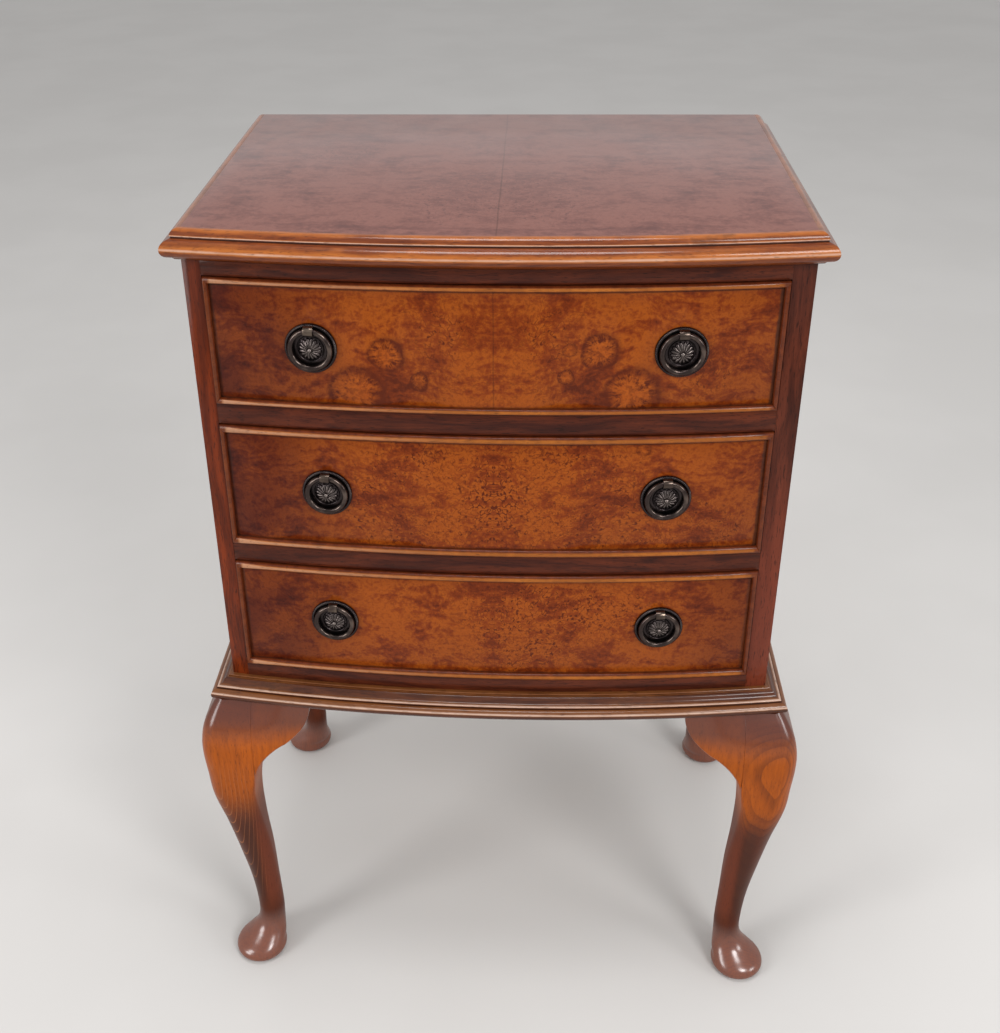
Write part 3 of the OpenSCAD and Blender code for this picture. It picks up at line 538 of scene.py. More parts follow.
# the top's tones are walnut brown cooled by a painted lilac reflection
top_tones = (srgb(84, 48, 44), srgb(103, 62, 55), srgb(118, 75, 66))
top_finish = burr_walnut(
    "burr_top", "XY", 1.0 * mm, 0.31,
    [(-0.105, 0.02, 0.016, 0.3), (0.118, -0.055, 0.018, 0.25)],
    top_tones, [(0.0, -0.06, 0.09), (-0.14, 0.06, 0.06)], None, 0.75, 0.32, 0.5,
)
eased_copy("top_board", top_finish, 0.15 * mm)


# ---- Top moulding ----
# Three lengths of walnut run to an ovolo, a quirk and a full nose, mitred at the front
# corners and glued to the edges of the board. Dusting has worn the arrises to gold, and the
# finish adds painted highlights along them and painted shade under the nose.
front_y = -136.15 * mm
bow_radius = 1569.04 * mm
bow_middle = front_y + 1553.54 * mm


def arc_round(middle, radius, start, end, steps):
    turns = (math.radians(start + (end - start) * i / steps) for i in range(steps + 1))
    return [(middle[0] + radius * math.cos(t), middle[1] + radius * math.sin(t)) for t in turns]


def bow_at(x, out=0.0):
    """How far back the bow is at x, on a line that runs out mm outside the carcass."""
    return bow_middle - math.sqrt((bow_radius + out) ** 2 - x * x)


def moulded(name, section, rub, start, corner_x, back, height, side, steps):
    """A moulding swept along the bow (side 0) or along one straight side, cut to its mitre.

    section holds (out, up) round the profile, and the next argument a number for each of its
    points, which the finish reads: high for worn gold and painted highlights, below nought for
    dark polish and painted shade. The mitre runs out from the bow's corner at corner_x."""
    corner_y = bow_at(corner_x, start)
    fall = (bow_radius - corner_x) / math.sqrt(bow_radius ** 2 - corner_x ** 2)
    points, wear_and_light_values = [], []
    # each point's weight for wear, painted highlight and painted shade, as the finish reads it
    for (out, rise), worn in zip(section, rub):
        if side:
            x, front = side * (corner_x + out), corner_y - fall * out
            run = [(x, front + (back - front) * i / steps) for i in range(steps + 1)]
        else:
            reach = bow_radius + start + out
            gap_y = corner_y - bow_middle
            square = 1 + fall * fall
            middle = corner_x - gap_y * fall
            spare = corner_x ** 2 + gap_y ** 2 - reach ** 2
            end_x = corner_x + (math.sqrt(middle * middle - square * spare) - middle) / square
            swing = math.asin(end_x / reach)
            turns = (swing * (2 * i / steps - 1) for i in range(steps + 1))
            run = [(reach * math.sin(t), bow_middle - reach * math.cos(t)) for t in turns]
        points += [(x, y, height + rise) for x, y in run]
        wear_and_light_values += [worn] * (steps + 1)
    count, row = len(section), steps + 1
    faces = []
    for k in range(count):
        a, b = k * row, (k + 1) % count * row
        faces += [(a + i, a + i + 1, b + i + 1, b + i) for i in range(steps)]
    faces.append([k * row for k in range(count)])
    faces.append([k * row + steps for k in range(count - 1, -1, -1)])
    piece = add_mesh(name, points, faces)
    mark = piece.data.attributes.new("rub", "FLOAT", "POINT")
    mark.data.foreach_set("value", wear_and_light_values)
    return finish_mesh(piece, 28)


def worn_moulding_with_painted_light(name, along, dark, brown, gold, patchy):
    """Walnut with its arrises rubbed to gold and given painted highlights, and dark polish
    and painted shade in the hollows and under the nose.
    """
    material, at = new_finish(name)
    rub = at.node("ShaderNodeAttribute", {"attribute_name": "rub"}, {}, 2)
    stretch = tuple(0.25 if axis == along else 1.0 for axis in "XYZ")
    band = straight_grain(at, along, 2.5 * mm)
    pore = pores(at, along)
    uneven = (at * stretch).noise(120.0, 4.0, 0.65)
    patch = at.noise(26.0, 4.0, 0.6)
    # gold where the arrises are worn and where light falls on the profile: partly wear, partly
    # painted light
    worn = (rub + (uneven - 0.5) * 0.8 + (patch - 0.5) * patchy * 1.4).rises(0.15, 1.05)
    # dark old polish in the quirks, and painted shade under the nose
    hollow = (rub + (uneven - 0.5) * 0.3).rises(-0.2, -0.7)
    colour = band.rises(0.3, 0.7).tint(dark, brown)
    colour = worn.tint(colour, gold)
    # a pale painted highlight along the brightest arrises and the nose
    bare = (rub + (uneven - 0.5) * 0.5).rises(1.0, 1.6)
    colour = (bare * 0.70).tint(colour, srgb(214, 184, 166))
    chipped = patch.rises(0.60, 0.70) * uneven.rises(0.45, 0.6)
    colour = (chipped * 0.6 * patchy).tint(colour, srgb(52, 24, 12))
    colour = (hollow * 0.85).tint(colour, srgb(34, 14, 8))
    colour = (pore * 0.45).tint(colour, srgb(40, 16, 8))
    height = band + pore * -0.7 + uneven * 0.4
    return polished(material, at, colour, height, 0.06 * mm, 0.33 + uneven * 0.12, 0.6, 0.12)


def plant(name, lengths, front_tones, side_tones, patchy):
    """The front length and the two side lengths of a moulding, each with its finish."""
    for hand, side, along in (("front", 0, "X"), ("left", -1, "Y"), ("right", 1, "Y")):
        node = name + hand
        piece = moulded(node + "_run", *lengths, side, 24 if side else 120)
        tones = side_tones if side else front_tones
        finish = worn_moulding_with_painted_light("walnut_" + node, along, *tones, patchy)
        stand_for(piece, node, finish)


top_height = 716 * mm
top_section = [(p[0] * mm, p[1] * mm) for p in (
    [(0, 0)] + arc_round((2, -5), 5, 90, 8, 12)
    + [(6.97, -4.6), (6.85, -5.0), (6.6, -5.2), (6.6, -6.1), (7.0, -6.35)]
    + arc_round((7.5, -13.4), 6.5, 76, -90, 26) + [(5.5, -22), (0, -22)]
)]
# for each point of the profile: high for worn gold and pale painted highlights, below nought for
# dark polish and painted shade
top_wear_and_light = (
    [0.5] + [0.7, 0.8, 0.8, 0.75, 0.7, 0.6, 0.5, 0.35, 0.2, 0.1, 0.1, 0.4, 1.3]
    + [1.8, 1.7, -0.4, -1.0, -0.4]
    + [0.2, 0.35, 0.4, 0.4, 0.4, 0.4, 0.5, 0.7, 0.9, 1.0, 1.25, 1.4, 1.2, 0.6, 0.2] + [0.0] * 12
    + [-0.6, -0.6]
)
field_half, field_start = 218 * mm, -2 * mm
top_back = front_y + 305 * mm
# the side lengths take the duller, darker tones: painted shade on the sides
gold_brown = (srgb(88, 36, 12), srgb(122, 58, 18), srgb(162, 90, 32))
dull_brown = (srgb(70, 34, 20), srgb(98, 52, 32), srgb(134, 82, 54))
plant(
    "top_moulding_", (top_section, top_wear_and_light, field_start, field_half, top_back, top_height),
    gold_brown, dull_brown, 0.8,
)


# ---- Base frame ----
# The frame that carries the carcass on the legs, moulded on its front and sides with an
# ogee, a small bead and a nose. Its quirks have filled with dark polish, and the finish adds
# painted highlights along its arrises and painted shade under the nose.
def arc_over(start, end, rise, steps):
    """Points from start to end on an arc that swells by rise to the left of the way."""
    way = Vector(end) - Vector(start)
    chord = way.length
    radius = (chord * chord / 4 + rise * rise) / (2 * abs(rise))
    across = Vector((-way.y, way.x)) / chord * math.copysign(1, rise)
    middle = (Vector(start) + Vector(end)) / 2 - across * (radius - abs(rise))
    half = math.asin(chord / 2 / radius)
    turns = (half * (2 * i / steps - 1) for i in range(steps + 1))
    spots = (middle + radius * (across * math.cos(t) + way / chord * math.sin(t)) for t in turns)
    return [(s.x, s.y) for s in spots]


brow, bead_top = (3.8, -1.4), (11.2, -6.4)
turn = (brow[0] + (bead_top[0] - brow[0]) * 0.45, brow[1] + (bead_top[1] - brow[1]) * 0.45)
base_section = [(p[0] * mm, p[1] * mm) for p in (
    [(-55, 0), (3.1, 0), (3.4, -0.3), (3.4, -1.4)]
    + arc_over(brow, turn, 0.8, 8) + arc_over(turn, bead_top, -0.8, 8)[1:]
    + arc_over(bead_top, (11.6, -8.2), 0.85, 8)[1:]
    + arc_round((12.6, -13.0), 4.6, 98, -90, 24) + [(11.2, -18), (-55, -18)]
)]
# for each point of the profile: high for worn gold and pale painted highlights, below nought for
# dark polish and painted shade
base_wear_and_light = (
    [0.0, 0.9, 1.1, 0.3] + [1.1, 0.8, 0.4, 0.3, 0.25, 0.2, 0.2, 0.2, 0.2]
    + [0.2, 0.2, 0.25, 0.35, 0.5, 0.9, 1.3, 1.5] + [1.6, 1.5, 1.4, 1.0, 0.4, -0.2, -0.6, -0.8]
    + [-0.4, 0.2, 0.8, 0.9, 0.9, 0.9, 0.9, 1.0, 1.2, 1.5, 1.5, 0.9, 0.2] + [-0.1] * 12
    + [-0.6, -0.6]
)
carcass_half = 220 * mm
base_back, base_top = front_y + 300 * mm, 327 * mm
base_tones = (srgb(56, 24, 11), srgb(82, 40, 18), srgb(112, 66, 33))
plant(
    "base_frame_", (base_section, base_wear_and_light, 0.0, carcass_half, base_back, base_top),
    base_tones, base_tones, 0.9,
)


# ---- Legs and ears ----
# Four cabriole legs sawn from the solid on two faces and rounded by hand, with pad feet.
# Shaped ears are glued beside the knees and cleaned off flush with them.
# sizes in mm; the legs stand at the carcass corners, corner_x from its middle and leg_gap apart
corner_x, leg_gap, back_flat = 220.0, 277.0, 28.0
leg_height, ear_fall = 309.0, 71.0
foot_radius, foot_middle = 23.4, 4.0
ankle_height, ankle_outer, ankle_inner = 48.0, 4.8, -18.4
knee_reach, knee_height, leg_top_reach, post_in = 30.0, leg_height - ear_fall * 0.76, 14.0, 16.0
shank_rise = leg_height - ear_fall - ankle_height


def foot_row(height, wide, shift):
    middle = foot_middle - shift
    return height, middle + wide * foot_radius, middle - wide * foot_radius, 1, 1


def instep_row(up, outer, inner):
    toe, heel = foot_middle + foot_radius, foot_middle - foot_radius
    return (
        ankle_height * up, ankle_outer + outer * (toe - ankle_outer),
        ankle_inner + inner * (heel - ankle_inner), 1, 1,
    )


def shank_row(up, outer, hollow, corner, side):
    reach = ankle_outer + outer * (knee_reach - ankle_outer)
    return ankle_height + shank_rise * up, reach, hollow - post_in, corner, side


def knee_row(up, back, corner):
    reach = knee_reach - (knee_reach - leg_top_reach) * back
    return knee_height + (leg_height - knee_height) * up, reach, -post_in, corner, 0.03


# each row of the pattern: height, outer line, inner line, roundness outside and at the sides
leg_pattern = [
    foot_row(0, 0.74, 0), foot_row(2.45, 0.93, 0), foot_row(7, 1, 0), foot_row(11.9, 0.93, 0.8),
    instep_row(0.355, 0.6, 0.59), instep_row(0.5, 0.26, 0.12), instep_row(0.69, 0.05, -0.12),
    instep_row(1, 0, 0),
    shank_row(0.2, 0.1, -1.4, 1, 1), shank_row(0.42, 0.335, -0.2, 0.96, 0.86),
    shank_row(0.64, 0.6, 2.6, 0.92, 0.66), shank_row(0.84, 0.885, 3.8, 0.86, 0.36),
    shank_row(0.98, 0.955, 1.2, 0.76, 0.06),
    knee_row(0, 0, 0.7), knee_row(0.3, 0.056, 0.62), knee_row(0.59, 0.27, 0.55),
    knee_row(0.83, 0.656, 0.5), knee_row(1, 1, 0.46),
]


def pattern_line(height, which):
    """A smooth line through one column of the pattern."""
    last = len(leg_pattern) - 1
    i = max(k for k in range(last) if leg_pattern[k][0] <= height)

    def slope(k):
        low, high = leg_pattern[max(k - 1, 0)], leg_pattern[min(k + 1, last)]
        return (high[which] - low[which]) / (high[0] - low[0])
    below, above = leg_pattern[i], leg_pattern[i + 1]
    step = above[0] - below[0]
    t = (height - below[0]) / step
    return (
        (2 * t ** 3 - 3 * t ** 2 + 1) * below[which] + (t ** 3 - 2 * t ** 2 + t) * slope(i) * step
        + (3 * t ** 2 - 2 * t ** 3) * above[which] + (t ** 3 - t ** 2) * slope(i + 1) * step
    )


def leg_ring(height, steps):
    """One level of a leg, outward of its corner of the carcass."""
    outer = pattern_line(height, 1)
    inner = -post_in if height >= knee_height else pattern_line(height, 2)
    half = (outer - inner) / 2
    big, small = half * pattern_line(height, 3), half * pattern_line(height, 4)
    ring = []
    for across, along, radius, start in (
        (outer - big, outer - big, big, 0), (inner + small, outer - small, small, 90),
        (inner + small, inner + small, small, 180), (outer - small, inner + small, small, 270),
    ):
        for k in range(steps):
            turn = math.radians(start + 90 * (k + 0.5) / steps)
            ring.append((across + radius * math.cos(turn), along + radius * math.sin(turn)))
    return ring


def lofted(name, points, row, sharp):
    """A closed skin over rings of points, with row points to a ring."""
    count = len(points)
    faces = [tuple(range(row)), tuple(range(count - 1, count - row - 1, -1))]
    for k in range(0, count - row, row):
        for i in range(row):
            a, b = k + i, k + (i + 1) % row
            faces.append((a, b, b + row, a + row))
    return finish_mesh(add_mesh(name, points, faces), sharp)


def leg_mesh(name, side, back):
    levels = [ankle_height * (i / 40) ** 1.3 for i in range(40)]
    levels += [ankle_height + (leg_height - ankle_height) * i / 110 for i in range(111)]
    corner_y = leg_gap if back else 0.0
    steps = 16
    points = []
    for level in levels:
        for across, along in leg_ring(min(level, leg_height), steps):
            x = side * (corner_x + across)
            y = corner_y + (min(along, back_flat) if back else -along)
            points.append((x * mm, y * mm + front_y, level * mm))
    return lofted(name, points, 4 * steps, 50)


ear_length, ear_tip, ear_tip_fall, ear_end_fall, ear_reach = 49.0, 23.0, 41.0, 6.0, 12.0
ear_turn = (ear_length - ear_tip, ear_tip_fall)
ear_edge = (
    arc_over((0, ear_fall), ear_turn, -5, 24)
    + arc_over(ear_turn, (ear_length, ear_end_fall), 4.5, 24)[1:]
)


def ear_points(bowed):
    """Columns of an ear from the leg to its tip: its face, then the two corners of its back."""
    columns = []
    for along, drop in ear_edge:
        part = min(along / ear_length, 1)
        part = part * part * (3 - 2 * part)
        x = (corner_x - post_in - along) * mm
        swell = (front_y - bow_at(x)) / mm if bowed else 0
        column = []
        for i in range(25):
            height = leg_height - drop + drop * i / 24
            out = (1 - part) * pattern_line(height, 1) + part * (ear_reach + swell)
            # the lower arris is rounded over with a rasp
            out -= 1.6 * max(0, 1 - (height - leg_height + drop) / 1.6) ** 2
            column.append((-post_in - along, out, height))
        column += [(-post_in - along, 0, leg_height), (-post_in - along, 0, leg_height - drop)]
        columns.append(column)
    return columns


def ear_mesh(name, side, bowed, back):
    """An ear beside one leg, bowed where it lies along the front."""
    columns = ear_points(bowed)
    points = []
    for along, out, height in (spot for column in columns for spot in column):
        if bowed:
            x, y = corner_x + along, -out
        else:
            x, y = corner_x + out, leg_gap + along if back else -along
        points.append((side * x * mm, y * mm + front_y, height * mm))
    return lofted(name, points, len(columns[0]), 40)


knee_middle = 0.250


def leg_walnut(name, side, back, heart, lean, spacing, wander, crown, pale, strength):
    """Walnut whose growth layers run up the leg, so that the knee cuts them into ovals.

    heart is where the middle of the tree stood, outward of the carcass corner, in mm, and
    lean its lean. spacing is the layers' thickness, below 0 where they are counted inward,
    wander how uneven they are, crown the layer that the knee's top lies in, pale and
    strength how plain the pale and the dark lines are. The ears have the same finish."""
    material, at = new_finish(name)
    across = at.part("X") * side - corner_x * mm
    along = at.part("Y") - (leg_gap * mm + front_y) if back else front_y - at.part("Y")
    height = at.part("Z")
    stem = at.node("ShaderNodeCombineXYZ", {}, {0: across, 1: along})
    stem = stem - (heart[0] * mm, heart[1] * mm, 0)
    stem = stem + (at * (1.0, 1.0, 0.30)).drift(22.0, 2.0, 0.5) * (wander * mm, wander * mm, 0.0)
    layer = (stem.length() + (height - knee_middle) * lean) / (spacing * mm)
    year = layer.node("ShaderNodeMath", {"operation": "FRACT"}, {0: layer})
    number = layer.node("ShaderNodeMath", {"operation": "FLOOR"}, {0: layer})
    chance = at.node("ShaderNodeTexWhiteNoise", {"noise_dimensions": "1D"}, {"W": number})
    # the crown of the knee lies inside one broad pale layer
    outer_layer = number.rises(crown - 0.1, crown - 0.9)
    late = year.rises(0.35, 0.95) * year.rises(1.0, 0.97) * (0.4 + chance * 0.6) * outer_layer
    band = straight_grain(at, "Z", 3 * mm)
    pore = pores(at, "Z")
    blotch = at.noise(13.0, 3.0).rises(0.35, 0.68)
    # painted light: the knees, and a little the ears, are made lighter and warmer than the shanks
    knee_painted_light = height.rises(0.170, 0.225) * height.rises(0.300, 0.270)
    ear = (across * -1.0).larger(along * -1.0).rises(14 * mm, 22 * mm)
    ear = ear * height.rises(0.232, 0.240)
    warm = knee_painted_light.larger(ear * 0.2) * (0.8 + blotch * 0.2)
    colour = warm.tint(srgb(82, 34, 10), srgb(166, 80, 10))
    foot = height.rises(0.045, 0.022)
    colour = (foot * 0.75).tint(colour, srgb(122, 56, 22))
    colour = (band.rises(0.35, 0.7) * 0.3).tint(colour, srgb(74, 28, 11))
    faced = across.rises(-13 * mm, -6 * mm)
    fade = strength * (1 - ear * 0.8) * (1 - foot * 0.5) * (0.3 + faced * 0.7)
    colour = (late * 0.6 * fade).tint(colour, srgb(66, 24, 11))
    streak = year.rises(0.0, 0.06) * year.rises(0.20, 0.08) * pale
    streak = streak * height.rises(0.06, 0.10) * height.rises(0.262, 0.230) * faced * (1 - ear)
    colour = streak.tint(colour, srgb(150, 88, 46))
    shank = height.rises(0.045, 0.075) * height.rises(0.215, 0.150)
    # painted shade along the corner between the front and the inner side of the shank, and painted
    # light on the inner side
    shadowed = across.rises(10 * mm, 1 * mm) * across.rises(-9 * mm, -3 * mm) * shank
    colour = (shadowed * 0.55).tint(colour, srgb(52, 24, 12))
    colour = (across.rises(-4 * mm, -11 * mm) * shank * 0.6).tint(colour, srgb(112, 50, 26))
    # painted shade: the tops of the knees are darkened under the base moulding
    under = height.rises(0.270, 0.306) * 0.45
    colour = under.tint(colour, srgb(92, 36, 16))
    colour = (pore * 0.35).tint(colour, srgb(48, 18, 8))
    scuff = at.noise(55.0, 4.0, 0.6).rises(0.66, 0.74) * height.rises(0.05, 0.0)
    colour = (scuff * 0.4).tint(colour, srgb(150, 98, 64))
    lift = band + pore * -0.7 + late * -0.2
    # dusting has kept the feet and the tops of the knees brighter than the shanks
    shine = 0.09 + height.rises(0.052, 0.030) * 0.55 + height.rises(0.262, 0.296) * 0.30
    return polished(material, at, colour, lift, 0.04 * mm, 0.32 + blotch * 0.08, shine, 0.22, 2.1)


for node, side, back, growth in (
    ("leg_front_left", -1, False, ((35, 54), 0.03, -2.7, 4.0, 0, 0.9, 0.3)),
    ("leg_front_right", 1, False, ((22.5, 175.1), 0.003, -2.449, 1.6, -60, 0.0, 1.0)),
    ("leg_back_left", -1, True, ((86, 9), 0.06, -2.4, 4.0, 0, 0.1, 0.8)),
    ("leg_back_right", 1, True, ((80, 12), 0.05, -2.6, 4.0, 0, 0.0, 0.9)),
):
    finish = leg_walnut("walnut_" + node, side, back, *growth)
    stand_for(leg_mesh(node + "_carved", side, back), node, finish)
for hand, side in (("left", -1), ("right", 1)):
    for name, node, leg, bowed, back in (
        ("front_ear_", "front_ears", "front_", True, False),
        ("side_ear_front_", "side_ears", "front_", False, False),
        ("side_ear_back_", "side_ears", "back_", False, True),
    ):
        finish = bpy.data.materials["walnut_leg_" + leg + hand]
        stand_for(ear_mesh(name + hand, side, bowed, back), node, finish)


# ---- Carcass screws ----
# Countersunk steel screws that hold the top down and the base frame up. They have gone
# dull, with a little rust round their heads.
def dull_steel(name):
    material, at = new_finish(name)
    rust = at.noise(260.0, 4.0, 0.6).rises(0.5, 0.7)
    colour = rust.tint(srgb(150, 148, 144), srgb(104, 66, 44))
    return shaded(material, at, {
        "Base Color": colour, "Metallic": 1.0 - rust * 0.7, "Roughness": 0.38 + rust * 0.35,
        "Normal": rust.relief(0.4, 0.05 * mm),
    })


eased_copy("carcass_screws", dull_steel("dull_steel"), 0.1 * mm)


# ---- Drawer boxes ----
# Each drawer has a bowed front laid with burr walnut, thin oak sides that are dovetailed
# into the front and the back, and a bottom let into grooves.

# the lowest and the highest edge of each front in the solids, in mm, and how far the bead's
# two edges are moved there: beads and gaps then stand as in the photo
bead_thick, unmoved = 3.0, 13
drawer_edges = (
    ((579.7, 2.3, 3.9), (678.3, 1.3, 2.9)),
    ((458.7, 0.7, 3.7), (560.3, 0.4, 3.4)),
    ((340.7, 0.0, 2.8), (439.3, -0.4, 2.4)),
)
drawer_marks = [
    (
        (low, low_outer), (low + bead_thick, low_inner), (low + unmoved, 0),
        (high - unmoved, 0), (high - bead_thick, high_inner), (high, high_outer),
    )
    for (low, low_outer, low_inner), (high, high_inner, high_outer) in drawer_edges
]
# the veneer ends where the upright beads begin
veneer_left, veneer_right = 202.0 * mm, 198.9 * mm
drawer_leaf = (0.11, 0.93, 1.27)
joint_seen = (0.35, 0.1, 0.15)
drawer_eyes = (
    [(-76.9 * mm, 627.0 * mm, 13 * mm, 0.95), (73.2 * mm, 631.2 * mm, 13 * mm, 0.95),
     (-100.1 * mm, 596.4 * mm, 20 * mm, 0.85), (97.1 * mm, 597.6 * mm, 20 * mm, 0.85),
     (-54.0 * mm, 607.3 * mm, 7 * mm, 0.8), (50.7 * mm, 611.1 * mm, 6 * mm, 0.75),
     (51.5 * mm, 632.9 * mm, 5 * mm, 0.5)],
    [(-48 * mm, 548 * mm, 4.5 * mm, 0.6), (30 * mm, 551 * mm, 4.5 * mm, 0.6),
     (110 * mm, 552 * mm, 5.5 * mm, 0.6), (-84 * mm, 476 * mm, 4 * mm, 0.5),
     (76 * mm, 476 * mm, 4 * mm, 0.5)],
    [(-30 * mm, 400 * mm, 5 * mm, 0.3)],
)
drawer_pips = (
    [(-40 * mm, 640 * mm, 30 * mm), (40 * mm, 640 * mm, 30 * mm), (150 * mm, 615 * mm, 35 * mm)],
    [(-50 * mm, 508 * mm, 85 * mm), (52 * mm, 514 * mm, 85 * mm), (150 * mm, 480 * mm, 50 * mm)],
    [(25 * mm, 395 * mm, 65 * mm), (90 * mm, 405 * mm, 45 * mm)],
)
# how dark the lines beside the left and right beads are, partly dirt and partly painted shade, and
# how dark the painted shade at the right end is
drawer_grime_and_shade = ((0.6, 1.0, 0.25), (0.5, 0.9, 0.25), (0.5, 0.6, 0.60))
walnut_tones = (srgb(82, 28, 5), srgb(116, 46, 9), srgb(148, 72, 16))
for number in range(3):
    drawer = f"drawer_{number + 1}"
    marks = drawer_marks[number]
    veneer_low, veneer_high = (nudged(marks[i][0] * mm, marks) for i in (1, 4))
    edges = (veneer_left, veneer_right, veneer_low, veneer_high, drawer_grime_and_shade[number])
    face_finish = burr_walnut(
        f"burr_{drawer}", "XZ", -1 * mm, drawer_leaf[number], drawer_eyes[number], walnut_tones,
        drawer_pips[number], edges, seen=joint_seen[number],
    )
    eased_copy(drawer + "_front", face_finish, 0.2 * mm, marks)
    for part in ("side_left", "side_right"):
        eased_copy(f"{drawer}_{part}", oak_along["Y"], 0.3 * mm, marks)
    eased_copy(drawer + "_back", oak_along["X"], 0.3 * mm, marks)
    eased_copy(drawer + "_bottom", plywood, 0.3 * mm, marks)


# ---- Cock beads ----
# Thin strips of walnut with a rounded edge, let into a rebate round each drawer front and
# mitred at the corners. They stand a little proud, so hands and cloths have worn them; the
# finish adds a painted highlight along their crests and painted shade at their feet.
def bead_walnut(name, along):
    material, at = new_finish(name)
    proud = (at * (1.0, 1.0, 0.0) - (0, bow_middle, 0)).length() - bow_radius
    uneven = at.noise(150.0, 4.0, 0.65)
    patch = at.noise(17.0, 3.0, 0.6)
    pore = pores(at, along)
    colour = uneven.rises(0.3, 0.7).tint(srgb(78, 31, 13), srgb(104, 46, 19))
    # the level strips are gold along the crest: partly rubbed wear, partly a painted highlight
    across = at.part("X")
    level = 1.0 - across.rises(196 * mm, 199 * mm) - (across * -1.0).rises(199 * mm, 202 * mm)
    crest = proud.rises(2.7 * mm, 3.35 * mm) * (level * 0.9 + 0.1)
    gold = crest * (0.6 + (uneven * 0.5 + patch * 0.9).rises(0.62, 0.95) * 0.4)
    colour = (gold * 0.85).tint(colour, srgb(178, 104, 34))
    # a pale painted reflection on the level crests, towards the left end
    pale = proud.rises(3.0 * mm, 3.4 * mm) * level * (across * -1.0).rises(0, 190 * mm)
    colour = (pale * 0.5).tint(colour, srgb(184, 146, 122))
    chipped = uneven.rises(0.60, 0.70) * patch.rises(0.52, 0.62)
    colour = (chipped * 0.6).tint(colour, srgb(44, 18, 10))
    # dark at the bead's foot, where it meets the veneer: dirt and painted shade
    foot = proud.rises(1.0 * mm, 0.2 * mm)
    colour = (foot * 0.6).tint(colour, srgb(44, 19, 11))
    colour = (pore * 0.4).tint(colour, srgb(40, 16, 8))
    relief = uneven + pore * -0.5
    return polished(material, at, colour, relief, 0.03 * mm, 0.3 + uneven * 0.1, 0.35, 0.14)


bead_finish = bead_walnut("walnut_bead", "X")
bead_boldness = 1.55
for number, marks in enumerate(drawer_marks):
    node = f"drawer_{number + 1}_cock_beads"
    eased_copy(node, bead_finish, 0.12 * mm, marks, bead_boldness)


# ---- Pulls ----
# Each pull is a stamped brass plate with a milled rim and a rosette of petals, an eye bolt
# through the drawer front with a nut inside, and a ring that hangs in the eye.
def antique_brass(name, dark, worn, inside=None):
    """Brass darkened almost to black, and rubbed bright where it stands out."""
    material, at = new_finish(name)
    tarnish = at.noise(380.0, 3.0, 0.6)
    cloudy = at.noise(90.0, 3.0, 0.5)
    rubbed = cloudy.rises(0.45, 0.75) * 0.35
    if inside:
        low, high = inside
        stands_out = (at.part("Y") * -1.0).rises(low, high)
        rubbed = rubbed * 0.4 + stands_out * (0.35 + tarnish * 0.4)
    colour = rubbed.tint(dark, worn)
    colour = (tarnish.rises(0.5, 0.75) * 0.25).tint(colour, srgb(74, 56, 62))
    return shaded(material, at, {
        "Base Color": colour, "Metallic": 0.92, "Roughness": 0.19 - rubbed * 0.05 + tarnish * 0.05,
        "Normal": tarnish.relief(0.25, 0.04 * mm),
    })


# sizes in mm: the plate, half the width of its rolled rim, the ring and the thickness of its bar
plate_radius, rim, ring_rest, ring_bar = 19.2, 1.3, 14.4, 4.2
boss, rosette, lip_ends = 1.5, 9.0, 10.2
petals, notches = 16, 84


def notched(turn):
    """0 on a ridge of the milled rim and 1 in a notch."""
    return 0.5 + 0.5 * math.cos(turn * notches)


def plate_height(radius, turn):
    """How far the plate stands out of the drawer front, in mm."""
    if radius < boss:
        return 5.1 + math.sqrt(boss ** 2 - radius ** 2) * 0.75
    dome = 4.6 - 2.0 * ((radius - boss) / 7.0) ** 2
    if radius < rosette:
        # a petal widens outward and ends round; between the petals the dome lies lower
        wide = min(0.30 + 0.62 * (radius - boss) / 5.2, 0.92)
        tip = max(0.0, 1 - max(0.0, (radius - 7.0) / 1.5) ** 2)
        offset = abs(((turn * petals / (2 * math.pi)) % 1) - 0.5) * 2
        across = max(0.0, 1 - (offset / max(wide * math.sqrt(tip), 0.02)) ** 2)
        return dome - 0.55 + 0.85 * math.sqrt(across)
    if radius < lip_ends:
        lip = 1 - ((radius - 9.6) / 0.6) ** 2
        return 1.9 + 0.75 * max(0.0, lip)
    rim_start = plate_radius - 2 * rim
    if radius < rim_start:
        return 1.55 + 0.15 * abs(2 * (radius - lip_ends) / (rim_start - lip_ends) - 1)
    across = (radius - (plate_radius - rim)) / rim
    roll = rim + math.sqrt(max(1 - across * across, 0)) * rim
    milled = 0.22 * notched(turn) * max(0.0, min(1.0, (across + 0.5) * 1.2))
    return roll - milled


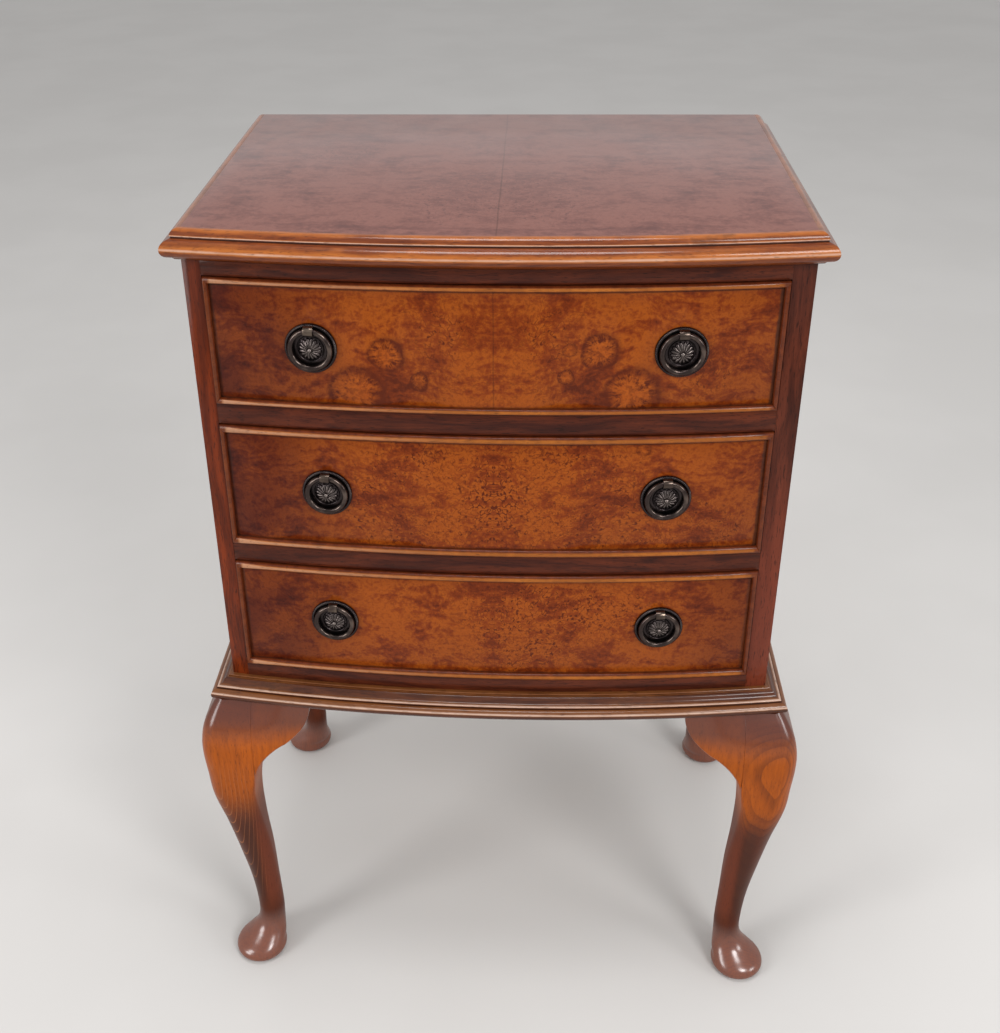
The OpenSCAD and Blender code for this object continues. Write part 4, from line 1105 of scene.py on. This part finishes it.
def plate_mesh():
    radii = [0.0, 0.4, 0.8, 1.1, 1.3, 1.42, boss, 1.62]
    radii += [1.62 + (rosette - 1.62) * i / 20 for i in range(1, 21)]
    radii += [9.2, 9.4, 9.6, 9.8, 10.0, lip_ends, 10.6, 12.0, 14.0, 16.0, 16.5, 16.6]
    radii += [plate_radius - rim - rim * math.cos(math.pi * i / 16) for i in range(1, 16)]
    radii.append(plate_radius)
    steps = notches * 6
    points, faces = [(0, -plate_height(0, 0) * mm, 0)], []
    for radius in radii[1:]:
        for i in range(steps):
            turn = 2 * math.pi * i / steps
            reach = radius
            if radius > plate_radius - 0.6 * rim:
                reach -= 0.16 * notched(turn)
            points.append((
                reach * math.cos(turn) * mm, -plate_height(radius, turn) * mm,
                reach * math.sin(turn) * mm,
            ))
    rows = len(radii) - 1
    points += [(x, -0.02 * mm, z) for x, y, z in points[-steps:]]
    for i in range(steps):
        j = (i + 1) % steps
        faces.append((0, 1 + i, 1 + j))
        for k in range(rows):
            a, b = 1 + k * steps + i, 1 + k * steps + j
            faces.append((a, a + steps, b + steps, b))
    faces.append(tuple(1 + rows * steps + i for i in range(steps)))
    return new_mesh("stamped_plate", points, faces)


def ring_mesh():
    points, faces, around, about = [], [], 128, 28
    for i in range(around):
        turn = 2 * math.pi * i / around
        for k in range(about):
            swing = 2 * math.pi * k / about
            reach = ring_rest + ring_bar / 2 * math.cos(swing)
            points.append((
                reach * math.cos(turn) * mm, ring_bar / 2 * math.sin(swing) * mm,
                reach * math.sin(turn) * mm,
            ))
    for i in range(around):
        for k in range(about):
            a, b = i * about, (i + 1) % around * about
            faces.append((a + k, b + k, b + (k + 1) % about, a + (k + 1) % about))
    return new_mesh("pull_ring", points, faces)


plate_brass = antique_brass(
    "antique_brass_plate", srgb(46, 40, 40), srgb(150, 138, 132), (2.6 * mm, 5.6 * mm)
)
ring_brass = antique_brass("antique_brass_ring", srgb(58, 49, 46), srgb(150, 132, 120))
bolt_brass = antique_brass("antique_brass_bolt", srgb(76, 65, 58), srgb(166, 148, 130))
stamped, turned_ring = plate_mesh(), ring_mesh()
# how far the rings hang in front of the bow, how far apart a drawer's pulls are, and their height
ring_lift = 4.1
pull_pitch = (262, 254, 257)
pull_height = (630.5, 511.0, 391.5)
for number in range(3):
    drawer = f"drawer_{number + 1}"
    for side, hand in ((-1, "left"), (1, "right")):
        x = side * pull_pitch[number] / 2 * mm
        square = Matrix.Translation((x, bow_at(x), pull_height[number] * mm)) @ Matrix.Rotation(
            side * math.asin(abs(x) / bow_radius), 4, "Z"
        )
        piece = add_piece(f"{drawer}_plate_{hand}", stamped)
        piece.matrix_world = square
        stand_for(finish_mesh(piece, 40), drawer + "_pull_plates", plate_brass)
        piece = add_piece(f"{drawer}_ring_{hand}_turned", turned_ring)
        piece.matrix_world = square @ Matrix.Translation((0, -ring_lift * mm, 0))
        stand_for(finish_mesh(piece, 40), f"{drawer}_ring_{hand}", ring_brass)
    eased_copy(drawer + "_pull_bolts", bolt_brass, 0.35 * mm)

bpy.context.view_layer.update()
